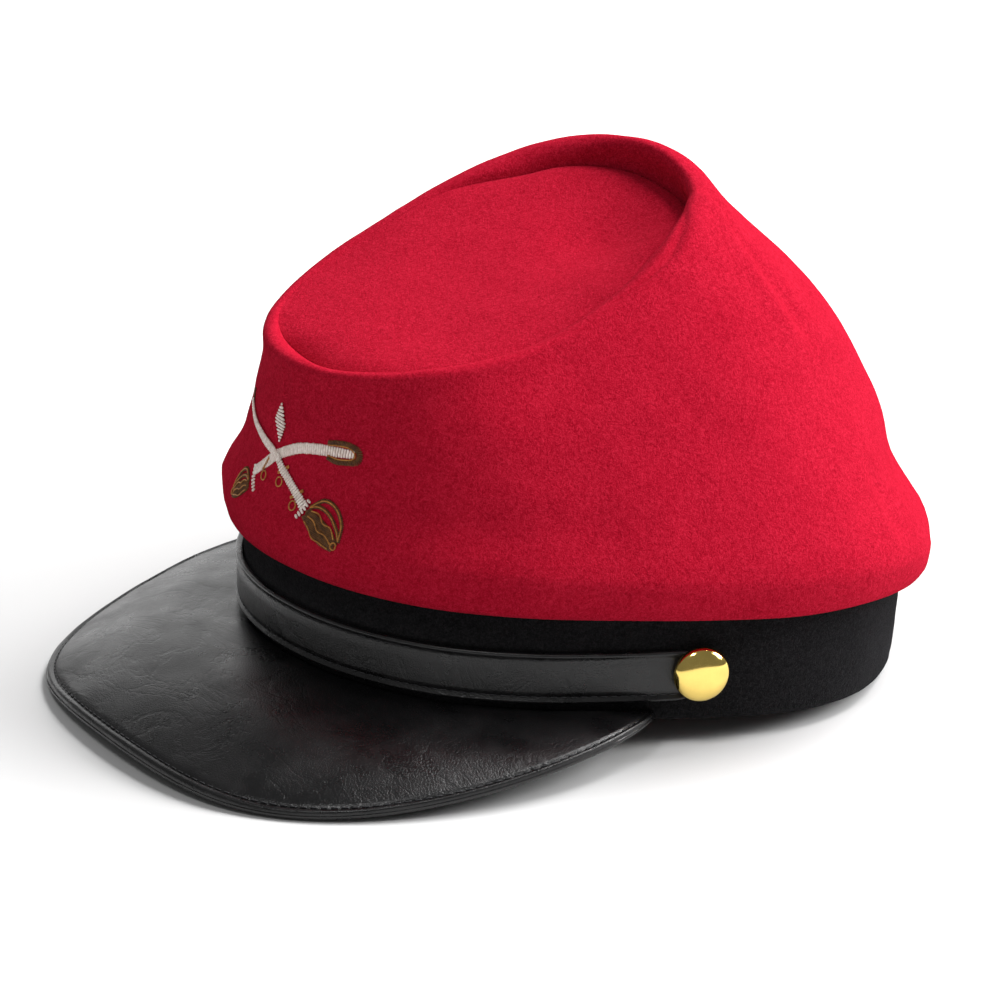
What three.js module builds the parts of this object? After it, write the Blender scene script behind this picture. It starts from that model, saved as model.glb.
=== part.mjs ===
// Kepi cap: a felt crown with a sloping oval top, a felt headband, a curved leather peak,
// a leather chin strap and two domed buttons. Millimetres, +Z up.
//
// The cap is shaped square to its headband, with the peak towards -Y and the wearer's left
// towards +X. It is then laid on a level surface, where it rests on the two wings of the peak
// and on the back of the headband. The origin is the centre of its footprint.

import * as THREE from "three";

// Overall
const REST_TILT = THREE.MathUtils.degToRad(-3.64);
const FELT = 1.9;
const GAP = 0.4;
const STEPS_AROUND = 64;

// Headband
const BAND_HEIGHT = 29;
// The felt lies on the headband's top, up to this height, and its inner wall starts above.
const SEAT_TOP = BAND_HEIGHT + 2 * GAP + FELT;
const LEAST_INNER_STEP = 0.3;
const BAND_FLARE = 0.0107 / 30;

// Peak
const PEAK_THICKNESS = 2.4;
const PEAK_HALF_ANGLE = 66.6;
const PEAK_ROOT_HEIGHT = 1.6;
const PEAK_CAMBER = 3.2;
const PEAK_END_WIDTH = 1.4;
const PEAK_STEPS_ALONG = 44;
const PEAK_STEPS_ACROSS = 7;

// Chin strap
const STRAP_WIDTH = 14;
const STRAP_THICKNESS = 1.6;
const STRAP_MIDDLE_HEIGHT = 11.7;
const STRAP_END_RISE = 1.2;
const STRAP_END_ANGLE = 74.6;
const STRAP_STEPS = 56;

// Buttons
const BUTTON_RADIUS = 7.5;
const BUTTON_HEIGHT = 4.2;
const BUTTON_ANGLE = 73.8;
const BUTTON_MIDDLE_HEIGHT = 13.6;
const BUTTON_SIDES = 28;

// Crown
const TOP_CENTRE_Y = -33.7;
const TOP_SLOPE = 0.338;
const SIDE_S_CURVE = 0.37;
const WAIST_AT = 0.24;
const SHOULDER_AT = 0.69;
const ROLL_LEAN = -1.0;
const INSET_LEAN = 0.5;
const SINK_LEAN = 3.2;
const RIM_PRESS = { angle: 84, spread: 42, drop: 6.3, inward: 1.7, thinning: 0.25 };
const FAR_FLUSH = { start: -135, full: -92, ease: -32, stop: -6, share: 1 };
const NEAR_FLUSH = { start: 40, full: 85, ease: 100, stop: 124, share: 0.75 };
const RIM_DEEP = { angle: 172, spread: 42, sink: 4, narrowing: 0.55, undercut: 0.6 };
const LEAST_ROLL = 2;
const LEAST_INSET = 0.95;
const HIGHEST_FOLD = 0.35;
const FLUSH_INSET = 0.25;
const FLUSH_HEIGHT = 0.95;
const STEEPEST_MEETING = 1.1;
const ROLL_TURN = 0.82 * Math.PI;
const RIM_FOLD_DEPTH = 2.2;
const DISC_DIP = 2.5;

// Half of the cap, from front centre (0 degrees) round to back centre (180 degrees).
// band: headband radius. drop: how far the hem hangs below the headband's top.
// hem: how far the hem stands out of the headband.
// bulge, rise: radius of the fold above the hem, and its height over the hem.
// belly, waist, shoulder: how far the side swells, draws in and swells again on its way up.
// rim, height: radius of the top's rim about its own centre, and its height.
// roll: radius of the rolled rim. inset, sink: where the disc's edge lies inside the roll.
const COLUMNS = [
  "angle", "band", "drop", "hem", "bulge", "rise", "belly", "waist",
  "shoulder", "rim", "height", "roll", "inset", "sink",
];
const SECTIONS = [
  [0, 97.8, 0.0, 3.8, 105.1, 11.8, -3.0, 0.2, 0.9, 65.8, 82.7, 2.2, 0.2, 2.0],
  [15, 97.3, 0.0, 3.9, 104.5, 11.7, -2.9, 0.5, 0.8, 65.2, 83.4, 2.2, -0.1, 1.9],
  [30, 95.1, 0.0, 4.0, 102.2, 11.6, -2.5, 1.0, 0.8, 62.5, 85.9, 2.5, -0.7, 1.7],
  [45, 91.0, 0.0, 4.2, 98.5, 11.3, -1.9, 1.1, 0.8, 58.4, 89.7, 3.1, -1.3, 1.2],
  [60, 87.8, 0.0, 4.5, 95.9, 10.9, -1.0, 0.8, 0.9, 54.0, 94.4, 3.8, -1.6, 0.7],
  [75, 89.1, 0.0, 4.8, 97.1, 10.4, 0.4, 0.6, 1.2, 51.0, 99.3, 4.7, -1.3, 0.2],
  [90, 93.6, 0.0, 5.1, 100.9, 10.0, 2.1, 0.7, 1.7, 50.2, 104.4, 5.5, -0.8, -0.2],
  [105, 95.7, 0.1, 5.3, 103.0, 9.5, 4.1, 1.4, 2.4, 52.1, 109.5, 6.4, -0.2, -0.6],
  [120, 92.9, 3.0, 5.3, 101.1, 9.0, 6.2, 3.0, 3.2, 55.5, 114.5, 7.2, 0.1, -0.8],
  [135, 90.4, 6.6, 5.0, 98.4, 8.7, 8.2, 5.2, 4.1, 59.4, 119.1, 7.9, -0.2, -1.0],
  [150, 91.8, 8.8, 4.6, 98.2, 8.4, 9.8, 5.7, 4.9, 62.5, 122.5, 8.5, -0.8, -1.1],
  [165, 93.4, 9.4, 4.2, 98.8, 8.2, 10.9, 5.2, 5.4, 64.1, 124.5, 8.8, -1.4, -1.1],
  [180, 94.2, 9.5, 4.0, 99.4, 8.1, 11.3, 4.8, 5.6, 64.3, 125.1, 9.0, -1.6, -1.1],
];
const SECTION_STEP = 15;

// Looks
const RED_FELT = new THREE.MeshStandardMaterial({ color: 0xa30d28, roughness: 0.95, metalness: 0 });
const BLACK_FELT = new THREE.MeshStandardMaterial({ color: 0x0c0c0e, roughness: 0.95, metalness: 0 });
const LEATHER = new THREE.MeshStandardMaterial({ color: 0x111113, roughness: 0.38, metalness: 0 });
const BRASS = new THREE.MeshStandardMaterial({ color: 0xe0b04a, roughness: 0.2, metalness: 1 });

const UP = new THREE.Vector3(0, 0, 1);

// One column of the section table at an angle from front centre, with a smooth curve between
// its rows. Both halves of the cap share the table.
function measure(name, angle) {
  const index = COLUMNS.indexOf(name);
  const last = SECTIONS.length - 1;
  const place = Math.abs(angle) / SECTION_STEP;
  const low = Math.min(Math.floor(place), last - 1);
  const t = place - low;
  const row = (k) => {
    const mirrored = k < 0 ? -k : k > last ? 2 * last - k : k;
    return SECTIONS[mirrored][index];
  };
  const [a, b, c, d] = [row(low - 1), row(low), row(low + 1), row(low + 2)];
  const linear = (c - a) * t;
  const square = (2 * a - 5 * b + 4 * c - d) * t * t;
  const cube = (3 * b - a - 3 * c + d) * t * t * t;
  return b + 0.5 * (linear + square + cube);
}

// A point at an angle from front centre, positive towards the wearer's left.
function around(angle, radius, height, centreY = 0) {
  const turn = THREE.MathUtils.degToRad(angle);
  return new THREE.Vector3(radius * Math.sin(turn), centreY - radius * Math.cos(turn), height);
}

function bandRadius(angle, height = 0) {
  return measure("band", angle) * (1 + BAND_FLARE * height);
}

// A point beside the headband: a distance out from its surface at an angle and a height.
function besideBand(angle, out, height) {
  return around(angle, bandRadius(angle, height) + out, height);
}

// The direction straight out of the headband at an angle.
function outOfBand(angle) {
  const along = besideBand(angle + 1, 0, 0).sub(besideBand(angle - 1, 0, 0));
  return new THREE.Vector3(-along.y, along.x, 0).negate().normalize();
}

// Builds a closed solid from rows of points, each row as long as the next. A ring of rows
// joins its last row to its first; otherwise each end is closed by a fan of triangles.
function solidFromRows(rows, ring) {
  const width = rows[0].length;
  const positions = [];
  const triangles = [];
  rows.flat().forEach((point) => positions.push(point.x, point.y, point.z));
  const spans = ring ? rows.length : rows.length - 1;
  for (let i = 0; i < spans; i += 1) {
    for (let j = 0; j < width; j += 1) {
      const a = i * width + j;
      const b = i * width + ((j + 1) % width);
      const c = ((i + 1) % rows.length) * width + ((j + 1) % width);
      const d = ((i + 1) % rows.length) * width + j;
      triangles.push(a, b, c, a, c, d);
    }
  }
  if (!ring) {
    const end = (rows.length - 1) * width;
    for (let j = 1; j < width - 1; j += 1) {
      triangles.push(0, j + 1, j);
      triangles.push(end, end + j, end + j + 1);
    }
  }
  return solid(positions, triangles);
}

// Builds a closed solid from rings stacked between a first and a last point.
function solidFromRings(first, rings, last) {
  const width = rings[0].length;
  const points = [first, ...rings.flat(), last];
  const positions = points.flatMap((point) => [point.x, point.y, point.z]);
  const triangles = [];
  const end = points.length - 1;
  for (let j = 0; j < width; j += 1) {
    const next = (j + 1) % width;
    triangles.push(0, 1 + j, 1 + next);
    triangles.push(end, end - width + next, end - width + j);
    for (let i = 0; i < rings.length - 1; i += 1) {
      const row = 1 + i * width;
      triangles.push(row + j, row + width + j, row + width + next);
      triangles.push(row + j, row + width + next, row + next);
    }
  }
  return solid(positions, triangles);
}

// An indexed geometry whose faces point out of the solid.
function solid(positions, triangles) {
  const corner = (k) => new THREE.Vector3().fromArray(positions, 3 * k);
  let volume = 0;
  for (let k = 0; k < triangles.length; k += 3) {
    const [a, b, c] = [0, 1, 2].map((n) => corner(triangles[k + n]));
    volume += a.dot(b.cross(c)) / 6;
  }
  const outward = volume > 0 ? triangles : triangles.slice().reverse();
  const geometry = new THREE.BufferGeometry();
  geometry.setAttribute("position", new THREE.Float32BufferAttribute(positions, 3));
  geometry.setIndex(outward);
  geometry.computeVertexNormals();
  return geometry;
}

function anglesAround() {
  return Array.from({ length: STEPS_AROUND }, (_, i) => (360 * i) / STEPS_AROUND - 180);
}

// A smooth bump of height one, centred at an angle.
function bellAround(angle, { angle: centre, spread }) {
  const away = THREE.MathUtils.euclideanModulo(angle - centre + 180, 360) - 180;
  return Math.exp(-((away / spread) ** 2));
}

// How level the disc is with the rim in a stretch of it, from 0 to 1.
function flushAt(angle, { start, full, ease, stop, share }) {
  const up = THREE.MathUtils.smoothstep(angle, start, full);
  const down = 1 - THREE.MathUtils.smoothstep(angle, ease, stop);
  return share * Math.min(up, down);
}

// The crown's rim at an angle: its outermost point, its roll and where the disc meets it.
// The wearer's left side of the rim is pressed down a little, as soft felt is.
function rimAt(angle) {
  const side = Math.sin(THREE.MathUtils.degToRad(angle));
  const press = bellAround(angle, RIM_PRESS);
  const radius = measure("rim", angle) - RIM_PRESS.inward * press;
  const height = measure("height", angle) - RIM_PRESS.drop * press;
  const fullRoll = Math.max(measure("roll", angle) + ROLL_LEAN * side, LEAST_ROLL);
  return {
    edge: around(angle, radius, height, TOP_CENTRE_Y),
    roll: fullRoll * (1 - RIM_PRESS.thinning * press),
    inset: measure("inset", angle) + INSET_LEAN * side,
    sink: measure("sink", angle) + SINK_LEAN * side,
  };
}

// The felt's visible face at an angle, from the seam on the headband's top edge, round the
// hem, up the side, over the rolled rim and down to the disc. The side meets the roll where
// both run the same way, so that the rim is a soft edge.
function crownProfile(angle) {
  const rim = rimAt(angle);
  const along = rimAt(angle + 2).edge.sub(rimAt(angle - 2).edge);
  const out = new THREE.Vector3(along.y, -along.x, 0).normalize();
  const rise = new THREE.Vector3(0, -TOP_SLOPE, 1).normalize();
  const hemHeight = BAND_HEIGHT - measure("drop", angle);
  const band = measure("band", angle);
  const hem = around(angle, band + measure("hem", angle), hemHeight + 0.2);
  const bulge = around(angle, measure("bulge", angle), hemHeight + measure("rise", angle));

  const points = [
    besideBand(angle, 0.4, BAND_HEIGHT + GAP),
    besideBand(angle, 1.4, hemHeight + GAP + 0.2),
  ];
  for (let k = 0; k <= 3; k += 1) {
    const turn = (k / 3) * (Math.PI / 2);
    const point = hem.clone().lerp(bulge, Math.sin(turn));
    point.z = hem.z + (bulge.z - hem.z) * (1 - Math.cos(turn));
    points.push(point);
  }
  const centre = rim.edge.clone().addScaledVector(out, -rim.roll);
  const onRoll = (turn, narrowing = 1) => centre.clone()
    .addScaledVector(out, rim.roll * Math.cos(turn) * narrowing)
    .addScaledVector(rise, rim.roll * Math.sin(turn));
  let meeting = 0;
  for (let pass = 0; pass < 4; pass += 1) {
    const run = onRoll(meeting).sub(bulge);
    const inward = run.dot(out) * (1 - SIDE_S_CURVE) - 4 * measure("belly", angle);
    const lean = Math.atan(out.dot(rise) - (rise.z * inward) / run.z);
    meeting = THREE.MathUtils.clamp(lean, 0, STEEPEST_MEETING);
  }
  const edge = onRoll(meeting);
  for (let k = 1; k <= 11; k += 1) {
    const v = k / 11;
    const blend = v * v * (3 - 2 * v) * SIDE_S_CURVE + v * (1 - SIDE_S_CURVE);
    const ease = Math.min(1, v / 0.12) * Math.min(1, (1 - v) / 0.12);
    const belly = 4 * v * (1 - v) * measure("belly", angle);
    const waist = measure("waist", angle) * Math.exp(-(((v - WAIST_AT) / 0.13) ** 2));
    const shoulder = measure("shoulder", angle) * Math.exp(-(((v - SHOULDER_AT) / 0.16) ** 2));
    const point = bulge.clone().lerp(edge, blend);
    point.z = bulge.z + (edge.z - bulge.z) * v;
    points.push(point.addScaledVector(out, belly + ease * (shoulder - waist)));
  }
  const flush = flushAt(angle, FAR_FLUSH) + flushAt(angle, NEAR_FLUSH);
  const deep = bellAround(angle, RIM_DEEP) * (1 - flush);
  const end = THREE.MathUtils.lerp(ROLL_TURN, Math.PI / 2, flush);
  for (let k = 1; k <= 6; k += 1) {
    const turn = THREE.MathUtils.lerp(meeting, end, k / 6);
    points.push(onRoll(turn, turn > Math.PI / 2 ? 1 - RIM_DEEP.narrowing * deep : 1));
  }
  const sunkInset = Math.max(rim.roll + rim.inset, LEAST_INSET * rim.roll);
  const inset = THREE.MathUtils.lerp(sunkInset, FLUSH_INSET * rim.roll, flush);
  const sunkDepth = Math.max(rim.sink, -HIGHEST_FOLD * rim.roll);
  const sink = THREE.MathUtils.lerp(sunkDepth, -FLUSH_HEIGHT * rim.roll, flush);
  const fold = centre.clone()
    .addScaledVector(out, -inset * (1 - RIM_DEEP.undercut * deep))
    .addScaledVector(rise, -sink - RIM_DEEP.sink * deep);
  points.push(fold, fold.clone().addScaledVector(UP, -RIM_FOLD_DEPTH));
  return { points, fold, wall: Math.min(FELT, 0.6 * rim.roll) };
}

function crownSide() {
  const angles = anglesAround();
  const profiles = angles.map(crownProfile);
  const count = profiles.length;
  const rows = profiles.map((profile, i) => {
    const before = profiles[(i + count - 1) % count].points;
    const after = profiles[(i + 1) % count].points;
    const face = profile.points;
    const inner = [];
    for (let j = face.length - 1; j >= 4; j -= 1) {
      const up = face[Math.min(j + 1, face.length - 1)].clone().sub(face[j - 1]);
      const along = after[j].clone().sub(before[j]);
      const normal = along.cross(up).normalize();
      const point = face[j].clone().addScaledVector(normal, -profile.wall);
      point.z = Math.max(point.z, SEAT_TOP + LEAST_INNER_STEP * (j - 3));
      inner.push(point);
    }
    inner.push(besideBand(angles[i], -FELT + 0.2, SEAT_TOP));
    inner.push(besideBand(angles[i], -FELT + 0.2, BAND_HEIGHT + GAP));
    return [...face, ...inner];
  });
  return solidFromRows(rows, true);
}

function crownTop() {
  const edge = anglesAround().map((angle) => crownProfile(angle).fold);
  const centre = edge.reduce((sum, point) => sum.add(point), new THREE.Vector3());
  centre.divideScalar(edge.length);
  const ringAt = (part, lower) => edge.map((point) => {
    const inward = centre.clone().sub(point);
    const start = point.clone().addScaledVector(inward, (GAP + 0.1) / inward.length());
    const place = centre.clone().lerp(start, part);
    place.z -= DISC_DIP * (1 - part * part) + lower;
    return place;
  });
  const upper = [0.3, 0.6, 0.85, 1].map((part) => ringAt(part, 0));
  const under = [1, 0.85, 0.6, 0.3].map((part) => ringAt(part, FELT));
  const first = centre.clone();
  first.z -= DISC_DIP;
  const last = first.clone();
  last.z -= FELT;
  return solidFromRings(first, [...upper, ...under], last);
}

function band() {
  const rows = anglesAround().map((angle) => [
    besideBand(angle, 0, 0),
    besideBand(angle, 0, BAND_HEIGHT / 2),
    besideBand(angle, 0, BAND_HEIGHT),
    besideBand(angle, -FELT, BAND_HEIGHT),
    besideBand(angle, -FELT, BAND_HEIGHT / 2),
    besideBand(angle, -FELT, 0),
  ]);
  return solidFromRows(rows, true);
}

// The peak's front edge, from one end (-1) through front centre (0) to the other end (1).
function peakEdge(s) {
  const quarter = (s * Math.PI) / 2;
  const x = 94.9 * Math.sin(quarter) - 3.18 * Math.sin(3 * quarter) + 1.65 * Math.sin(5 * quarter);
  const y = -152.7 + 47.5 * s ** 2 + 121.6 * s ** 4;
  const z = -11.2 - 24.1 * s ** 2 + 63.7 * s ** 4 + 4 * s ** 6;
  const end = besideBand(PEAK_HALF_ANGLE, PEAK_END_WIDTH + GAP, PEAK_ROOT_HEIGHT);
  const atEnd = new THREE.Vector3(99.73, 16.4, 32.4);
  const pull = Math.abs(s) ** 8;
  return new THREE.Vector3(
    x + Math.sign(s) * (end.x - atEnd.x) * pull,
    y + (end.y - atEnd.y) * pull,
    z + (end.z - atEnd.z) * pull,
  );
}

function visor() {
  const middle = Array.from({ length: PEAK_STEPS_ALONG + 1 }, (_, i) => {
    const s = (2 * i) / PEAK_STEPS_ALONG - 1;
    const root = besideBand(s * PEAK_HALF_ANGLE, GAP, PEAK_ROOT_HEIGHT);
    const edge = peakEdge(s);
    const camber = PEAK_CAMBER * Math.min(1, root.distanceTo(edge) / 54);
    return Array.from({ length: PEAK_STEPS_ACROSS + 1 }, (__, j) => {
      const w = j / PEAK_STEPS_ACROSS;
      const point = root.clone().lerp(edge, w);
      point.z += camber * 4 * w * (1 - w);
      return point;
    });
  });
  const half = PEAK_THICKNESS / 2;
  const rows = middle.map((line) => {
    const upper = line.map((point) => point.clone().addScaledVector(UP, half));
    const lower = line.map((point) => point.clone().addScaledVector(UP, -half));
    return [...upper, ...lower.reverse()];
  });
  return solidFromRows(rows, false);
}

function chinStrap() {
  const halfWidth = STRAP_WIDTH / 2;
  const rows = Array.from({ length: STRAP_STEPS + 1 }, (_, i) => {
    const part = -Math.cos((Math.PI * i) / STRAP_STEPS);
    const even = (2 * i) / STRAP_STEPS - 1;
    const angle = STRAP_END_ANGLE * (0.55 * part + 0.45 * even);
    const toEnd = THREE.MathUtils.degToRad(STRAP_END_ANGLE - Math.abs(angle)) * 90;
    const inside = Math.min(toEnd / halfWidth, 1);
    const half = halfWidth * Math.max(Math.sqrt(1 - (1 - inside) ** 2), 0.25);
    const middle = STRAP_MIDDLE_HEIGHT + STRAP_END_RISE * (angle / STRAP_END_ANGLE) ** 4;
    const inner = GAP;
    const outer = GAP + STRAP_THICKNESS;
    return [
      besideBand(angle, inner, middle - half),
      besideBand(angle, outer - 0.5, middle - half),
      besideBand(angle, outer, middle - half + 0.6),
      besideBand(angle, outer, middle + half - 0.6),
      besideBand(angle, outer - 0.5, middle + half),
      besideBand(angle, inner, middle + half),
    ];
  });
  return solidFromRows(rows, false);
}

// A domed button on its own axis, +Z out of the cap, with a rolled edge and a flat back.
function buttonGeometry() {
  const profile = [[0, 0], [6.4, 0], [7.3, 0.5], [BUTTON_RADIUS, 1.2], [7.3, 1.8]];
  const domeRise = BUTTON_HEIGHT - 2;
  for (let k = 0; k <= 5; k += 1) {
    const turn = (k / 5) * (Math.PI / 2);
    profile.push([6.9 * Math.cos(turn), 2 + domeRise * Math.sin(turn)]);
  }
  profile[profile.length - 1][0] = 0;
  const outline = profile.map(([x, y]) => new THREE.Vector2(x, y));
  const geometry = new THREE.LatheGeometry(outline, BUTTON_SIDES);
  return geometry.rotateX(Math.PI / 2);
}

function button(name, side) {
  const mesh = new THREE.Mesh(buttonGeometry(), BRASS);
  const angle = side * BUTTON_ANGLE;
  mesh.name = name;
  mesh.position.copy(besideBand(angle, 0, BUTTON_MIDDLE_HEIGHT));
  mesh.position.addScaledVector(outOfBand(angle), 2 * GAP + STRAP_THICKNESS + 0.3);
  mesh.quaternion.setFromUnitVectors(UP, outOfBand(angle));
  return mesh;
}

function part(name, geometry, material) {
  const mesh = new THREE.Mesh(geometry, material);
  mesh.name = name;
  return mesh;
}

const cap = new THREE.Group();
cap.add(part("crown_side", crownSide(), RED_FELT));
cap.add(part("crown_top", crownTop(), RED_FELT));
cap.add(part("band", band(), BLACK_FELT));
cap.add(part("visor", visor(), LEATHER));
cap.add(part("chin_strap", chinStrap(), LEATHER));
cap.add(button("button_left", 1));
cap.add(button("button_right", -1));
cap.rotation.x = REST_TILT;

const kepi = new THREE.Group();
kepi.add(cap);
kepi.updateMatrixWorld(true);
const reach = new THREE.Box3().setFromObject(kepi, true);
cap.position.y = -(reach.min.y + reach.max.y) / 2;
cap.position.z = -reach.min.z;

export default kepi;
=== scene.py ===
"""Kepi cap: a felt crown with a sloping oval top, a felt headband, a curved leather peak,
a stitched chin strap, two domed buttons and an embroidered badge of crossed sabres.

Shapes are worked out in millimetres in the cap's own frame, square to its headband, with the
peak towards -Y and the wearer's left towards +X. `Pose` then lays them on the surface.
"""

import logging
import math
from dataclasses import dataclass
from enum import Enum

import bpy
import numpy as np
from mathutils import Matrix, Vector, noise
from mathutils.bvhtree import BVHTree


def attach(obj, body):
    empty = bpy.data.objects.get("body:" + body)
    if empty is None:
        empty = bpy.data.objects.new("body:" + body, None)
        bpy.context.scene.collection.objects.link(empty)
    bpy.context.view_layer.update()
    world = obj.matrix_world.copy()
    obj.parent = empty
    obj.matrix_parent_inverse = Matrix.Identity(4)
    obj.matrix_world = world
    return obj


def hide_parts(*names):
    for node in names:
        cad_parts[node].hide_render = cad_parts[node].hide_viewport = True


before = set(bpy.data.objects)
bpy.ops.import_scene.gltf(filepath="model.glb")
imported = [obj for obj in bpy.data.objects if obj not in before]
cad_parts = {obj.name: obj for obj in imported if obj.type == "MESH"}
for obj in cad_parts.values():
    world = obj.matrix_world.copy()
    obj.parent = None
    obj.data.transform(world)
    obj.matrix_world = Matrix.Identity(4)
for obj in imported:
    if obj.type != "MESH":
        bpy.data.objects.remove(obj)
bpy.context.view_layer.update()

LOG = logging.getLogger("kepi")
MM = 0.001
BODY = "root"
LEVEL = np.array([1.0, 1.0, 0.0])
Array = np.ndarray
Socket = bpy.types.NodeSocket
Colour = tuple[float, float, float]
Pair = tuple[float, float]
Triple = tuple[float, float, float]


# Curves and grids


def unit(vectors: Array) -> Array:
    """Scales vectors to a length of one."""
    return vectors / np.maximum(np.linalg.norm(vectors, axis=-1, keepdims=True), 1e-12)


def bell(values: Array | float, centre: float, width: float) -> Array:
    """Gives a smooth bump of height one at a centre."""
    return np.exp(-(((values - centre) / width) ** 2))


def smooth(part: Array | float) -> Array | float:
    """Eases a share between 0 and 1 so that it starts and ends gently."""
    return part * part * (3 - 2 * part)


def wrapped(angles: Array) -> Array:
    """Brings angles in degrees between -180 and 180."""
    return (angles + 180.0) % 360.0 - 180.0


def ring_angles(count: int) -> Array:
    """Gives even angles round the cap, starting at back centre."""
    return np.arange(count) * 360.0 / count - 180.0


def around(angles: Array, radius: Array | float, heights: Array | float, centre_y: float = 0.0) -> Array:
    """Gives points round the cap.

    Args:
        angles: Degrees from front centre, positive towards the wearer's left.
        radius: The distance from the centre.
        heights: The height of each point.
        centre_y: Where the centre lies from front to back.

    Returns:
        Points as (..., 3).
    """
    turn = np.radians(angles)
    x = radius * np.sin(turn)
    y = centre_y - radius * np.cos(turn)
    return np.stack([x, y, np.broadcast_to(heights, x.shape).astype(float)], axis=-1)


def through(before: Array, low: Array, high: Array, after: Array, part: Array) -> Array:
    """Draws a smooth curve through a row of values.

    Args:
        before: The value before the stretch.
        low: The value where the stretch starts.
        high: The value where it ends.
        after: The value after it.
        part: How far along the stretch, from 0 to 1.

    Returns:
        The curve's value.
    """
    linear = (high - before) * part
    square = (2 * before - 5 * low + 4 * high - after) * part**2
    cube = (3 * low - before - 3 * high + after) * part**3
    return low + 0.5 * (linear + square + cube)


def lengths(line: Array) -> Array:
    """Gives the length along a line up to each of its points."""
    return np.concatenate([[0.0], np.cumsum(np.linalg.norm(np.diff(line, axis=0), axis=1))])


def along_line(at: Array, run: Array, values: Array) -> Array:
    """Reads values along a line.

    Args:
        at: Lengths along the line.
        run: The length up to each of its points.
        values: A row of values for each of its points.

    Returns:
        A row of values for each length.
    """
    return np.stack([np.interp(at, run, column) for column in values.T], axis=-1)


def grid_normals(points: Array) -> Array:
    """Gives outward normals on a grid of rows of points that run round the cap.

    Args:
        points: Positions as (rows, around, 3), each row a closed ring.

    Returns:
        A unit normal at each position.
    """
    along = np.roll(points, -1, axis=1) - np.roll(points, 1, axis=1)
    up = np.gradient(points, axis=0)
    return unit(np.cross(along, up))


@dataclass(frozen=True)
class Wave:
    """Soft unevenness of cloth or leather: its height, the size of its lumps and its pattern."""

    height: float
    scale: float
    seed: float

    def at(self, points: Array) -> Array:
        """Gives the wave's height.

        Args:
            points: Millimetre positions, any shape ending in 3.

        Returns:
            One value for each position.
        """
        flat = points.reshape(-1, 3) / self.scale + self.seed
        values = [noise.noise(Vector(place)) for place in flat]
        return self.height * np.array(values).reshape(points.shape[:-1])


# Sizes shared by every piece


@dataclass(frozen=True)
class Pose:
    """How the cap lies: tipped back on its headband until its peak's wings meet the surface."""

    tilt: float = math.radians(-3.64)
    shift: Triple = (0.0, 26.114, 6.001)

    def lay(self, points: Array) -> Array:
        """Carries points from the cap's own frame to the surface.

        Args:
            points: Millimetre positions, any shape ending in 3.

        Returns:
            The same positions in metres in the model's frame.
        """
        x, y, z = points[..., 0], points[..., 1], points[..., 2]
        cosine, sine = math.cos(self.tilt), math.sin(self.tilt)
        turned = np.stack([x, y * cosine - z * sine, y * sine + z * cosine], axis=-1)
        return (turned + np.array(self.shift)) * MM


class Sections:
    """Measures of half of the cap at steps from front centre to back centre."""

    step = 15.0
    names = (
        "angle", "band", "drop", "hem", "bulge", "rise", "belly", "waist",
        "shoulder", "rim", "height", "roll", "inset", "sink",
    )
    rows = np.array([
        (0, 97.8, 0.0, 3.8, 105.1, 11.8, -3.0, 0.2, 0.9, 65.8, 82.7, 2.2, 0.2, 2.0),
        (15, 97.3, 0.0, 3.9, 104.5, 11.7, -2.9, 0.5, 0.8, 65.2, 83.4, 2.2, -0.1, 1.9),
        (30, 95.1, 0.0, 4.0, 102.2, 11.6, -2.5, 1.0, 0.8, 62.5, 85.9, 2.5, -0.7, 1.7),
        (45, 91.0, 0.0, 4.2, 98.5, 11.3, -1.9, 1.1, 0.8, 58.4, 89.7, 3.1, -1.3, 1.2),
        (60, 87.8, 0.0, 4.5, 95.9, 10.9, -1.0, 0.8, 0.9, 54.0, 94.4, 3.8, -1.6, 0.7),
        (75, 89.1, 0.0, 4.8, 97.1, 10.4, 0.4, 0.6, 1.2, 51.0, 99.3, 4.7, -1.3, 0.2),
        (90, 93.6, 0.0, 5.1, 100.9, 10.0, 2.1, 0.7, 1.7, 50.2, 104.4, 5.5, -0.8, -0.2),
        (105, 95.7, 0.1, 5.3, 103.0, 9.5, 4.1, 1.4, 2.4, 52.1, 109.5, 6.4, -0.2, -0.6),
        (120, 92.9, 3.0, 5.3, 101.1, 9.0, 6.2, 3.0, 3.2, 55.5, 114.5, 7.2, 0.1, -0.8),
        (135, 90.4, 6.6, 5.0, 98.4, 8.7, 8.2, 5.2, 4.1, 59.4, 119.1, 7.9, -0.2, -1.0),
        (150, 91.8, 8.8, 4.6, 98.2, 8.4, 9.8, 5.7, 4.9, 62.5, 122.5, 8.5, -0.8, -1.1),
        (165, 93.4, 9.4, 4.2, 98.8, 8.2, 10.9, 5.2, 5.4, 64.1, 124.5, 8.8, -1.4, -1.1),
        (180, 94.2, 9.5, 4.0, 99.4, 8.1, 11.3, 4.8, 5.6, 64.3, 125.1, 9.0, -1.6, -1.1),
    ])

    def at(self, name: str, angles: Array | float) -> Array:
        """Reads one column at angles from front centre, with a smooth curve between rows.

        Args:
            name: The column.
            angles: Degrees from front centre; both halves share the table.

        Returns:
            The column's value at each angle.
        """
        column = self.rows[:, self.names.index(name)]
        last = len(column) - 1
        place = np.abs(wrapped(np.asarray(angles, float))) / self.step
        low = np.minimum(np.floor(place).astype(int), last - 1)
        mirrored = (last - np.abs(last - np.abs(low + k)) for k in (-1, 0, 1, 2))
        return through(*(column[k] for k in mirrored), place - low)


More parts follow.
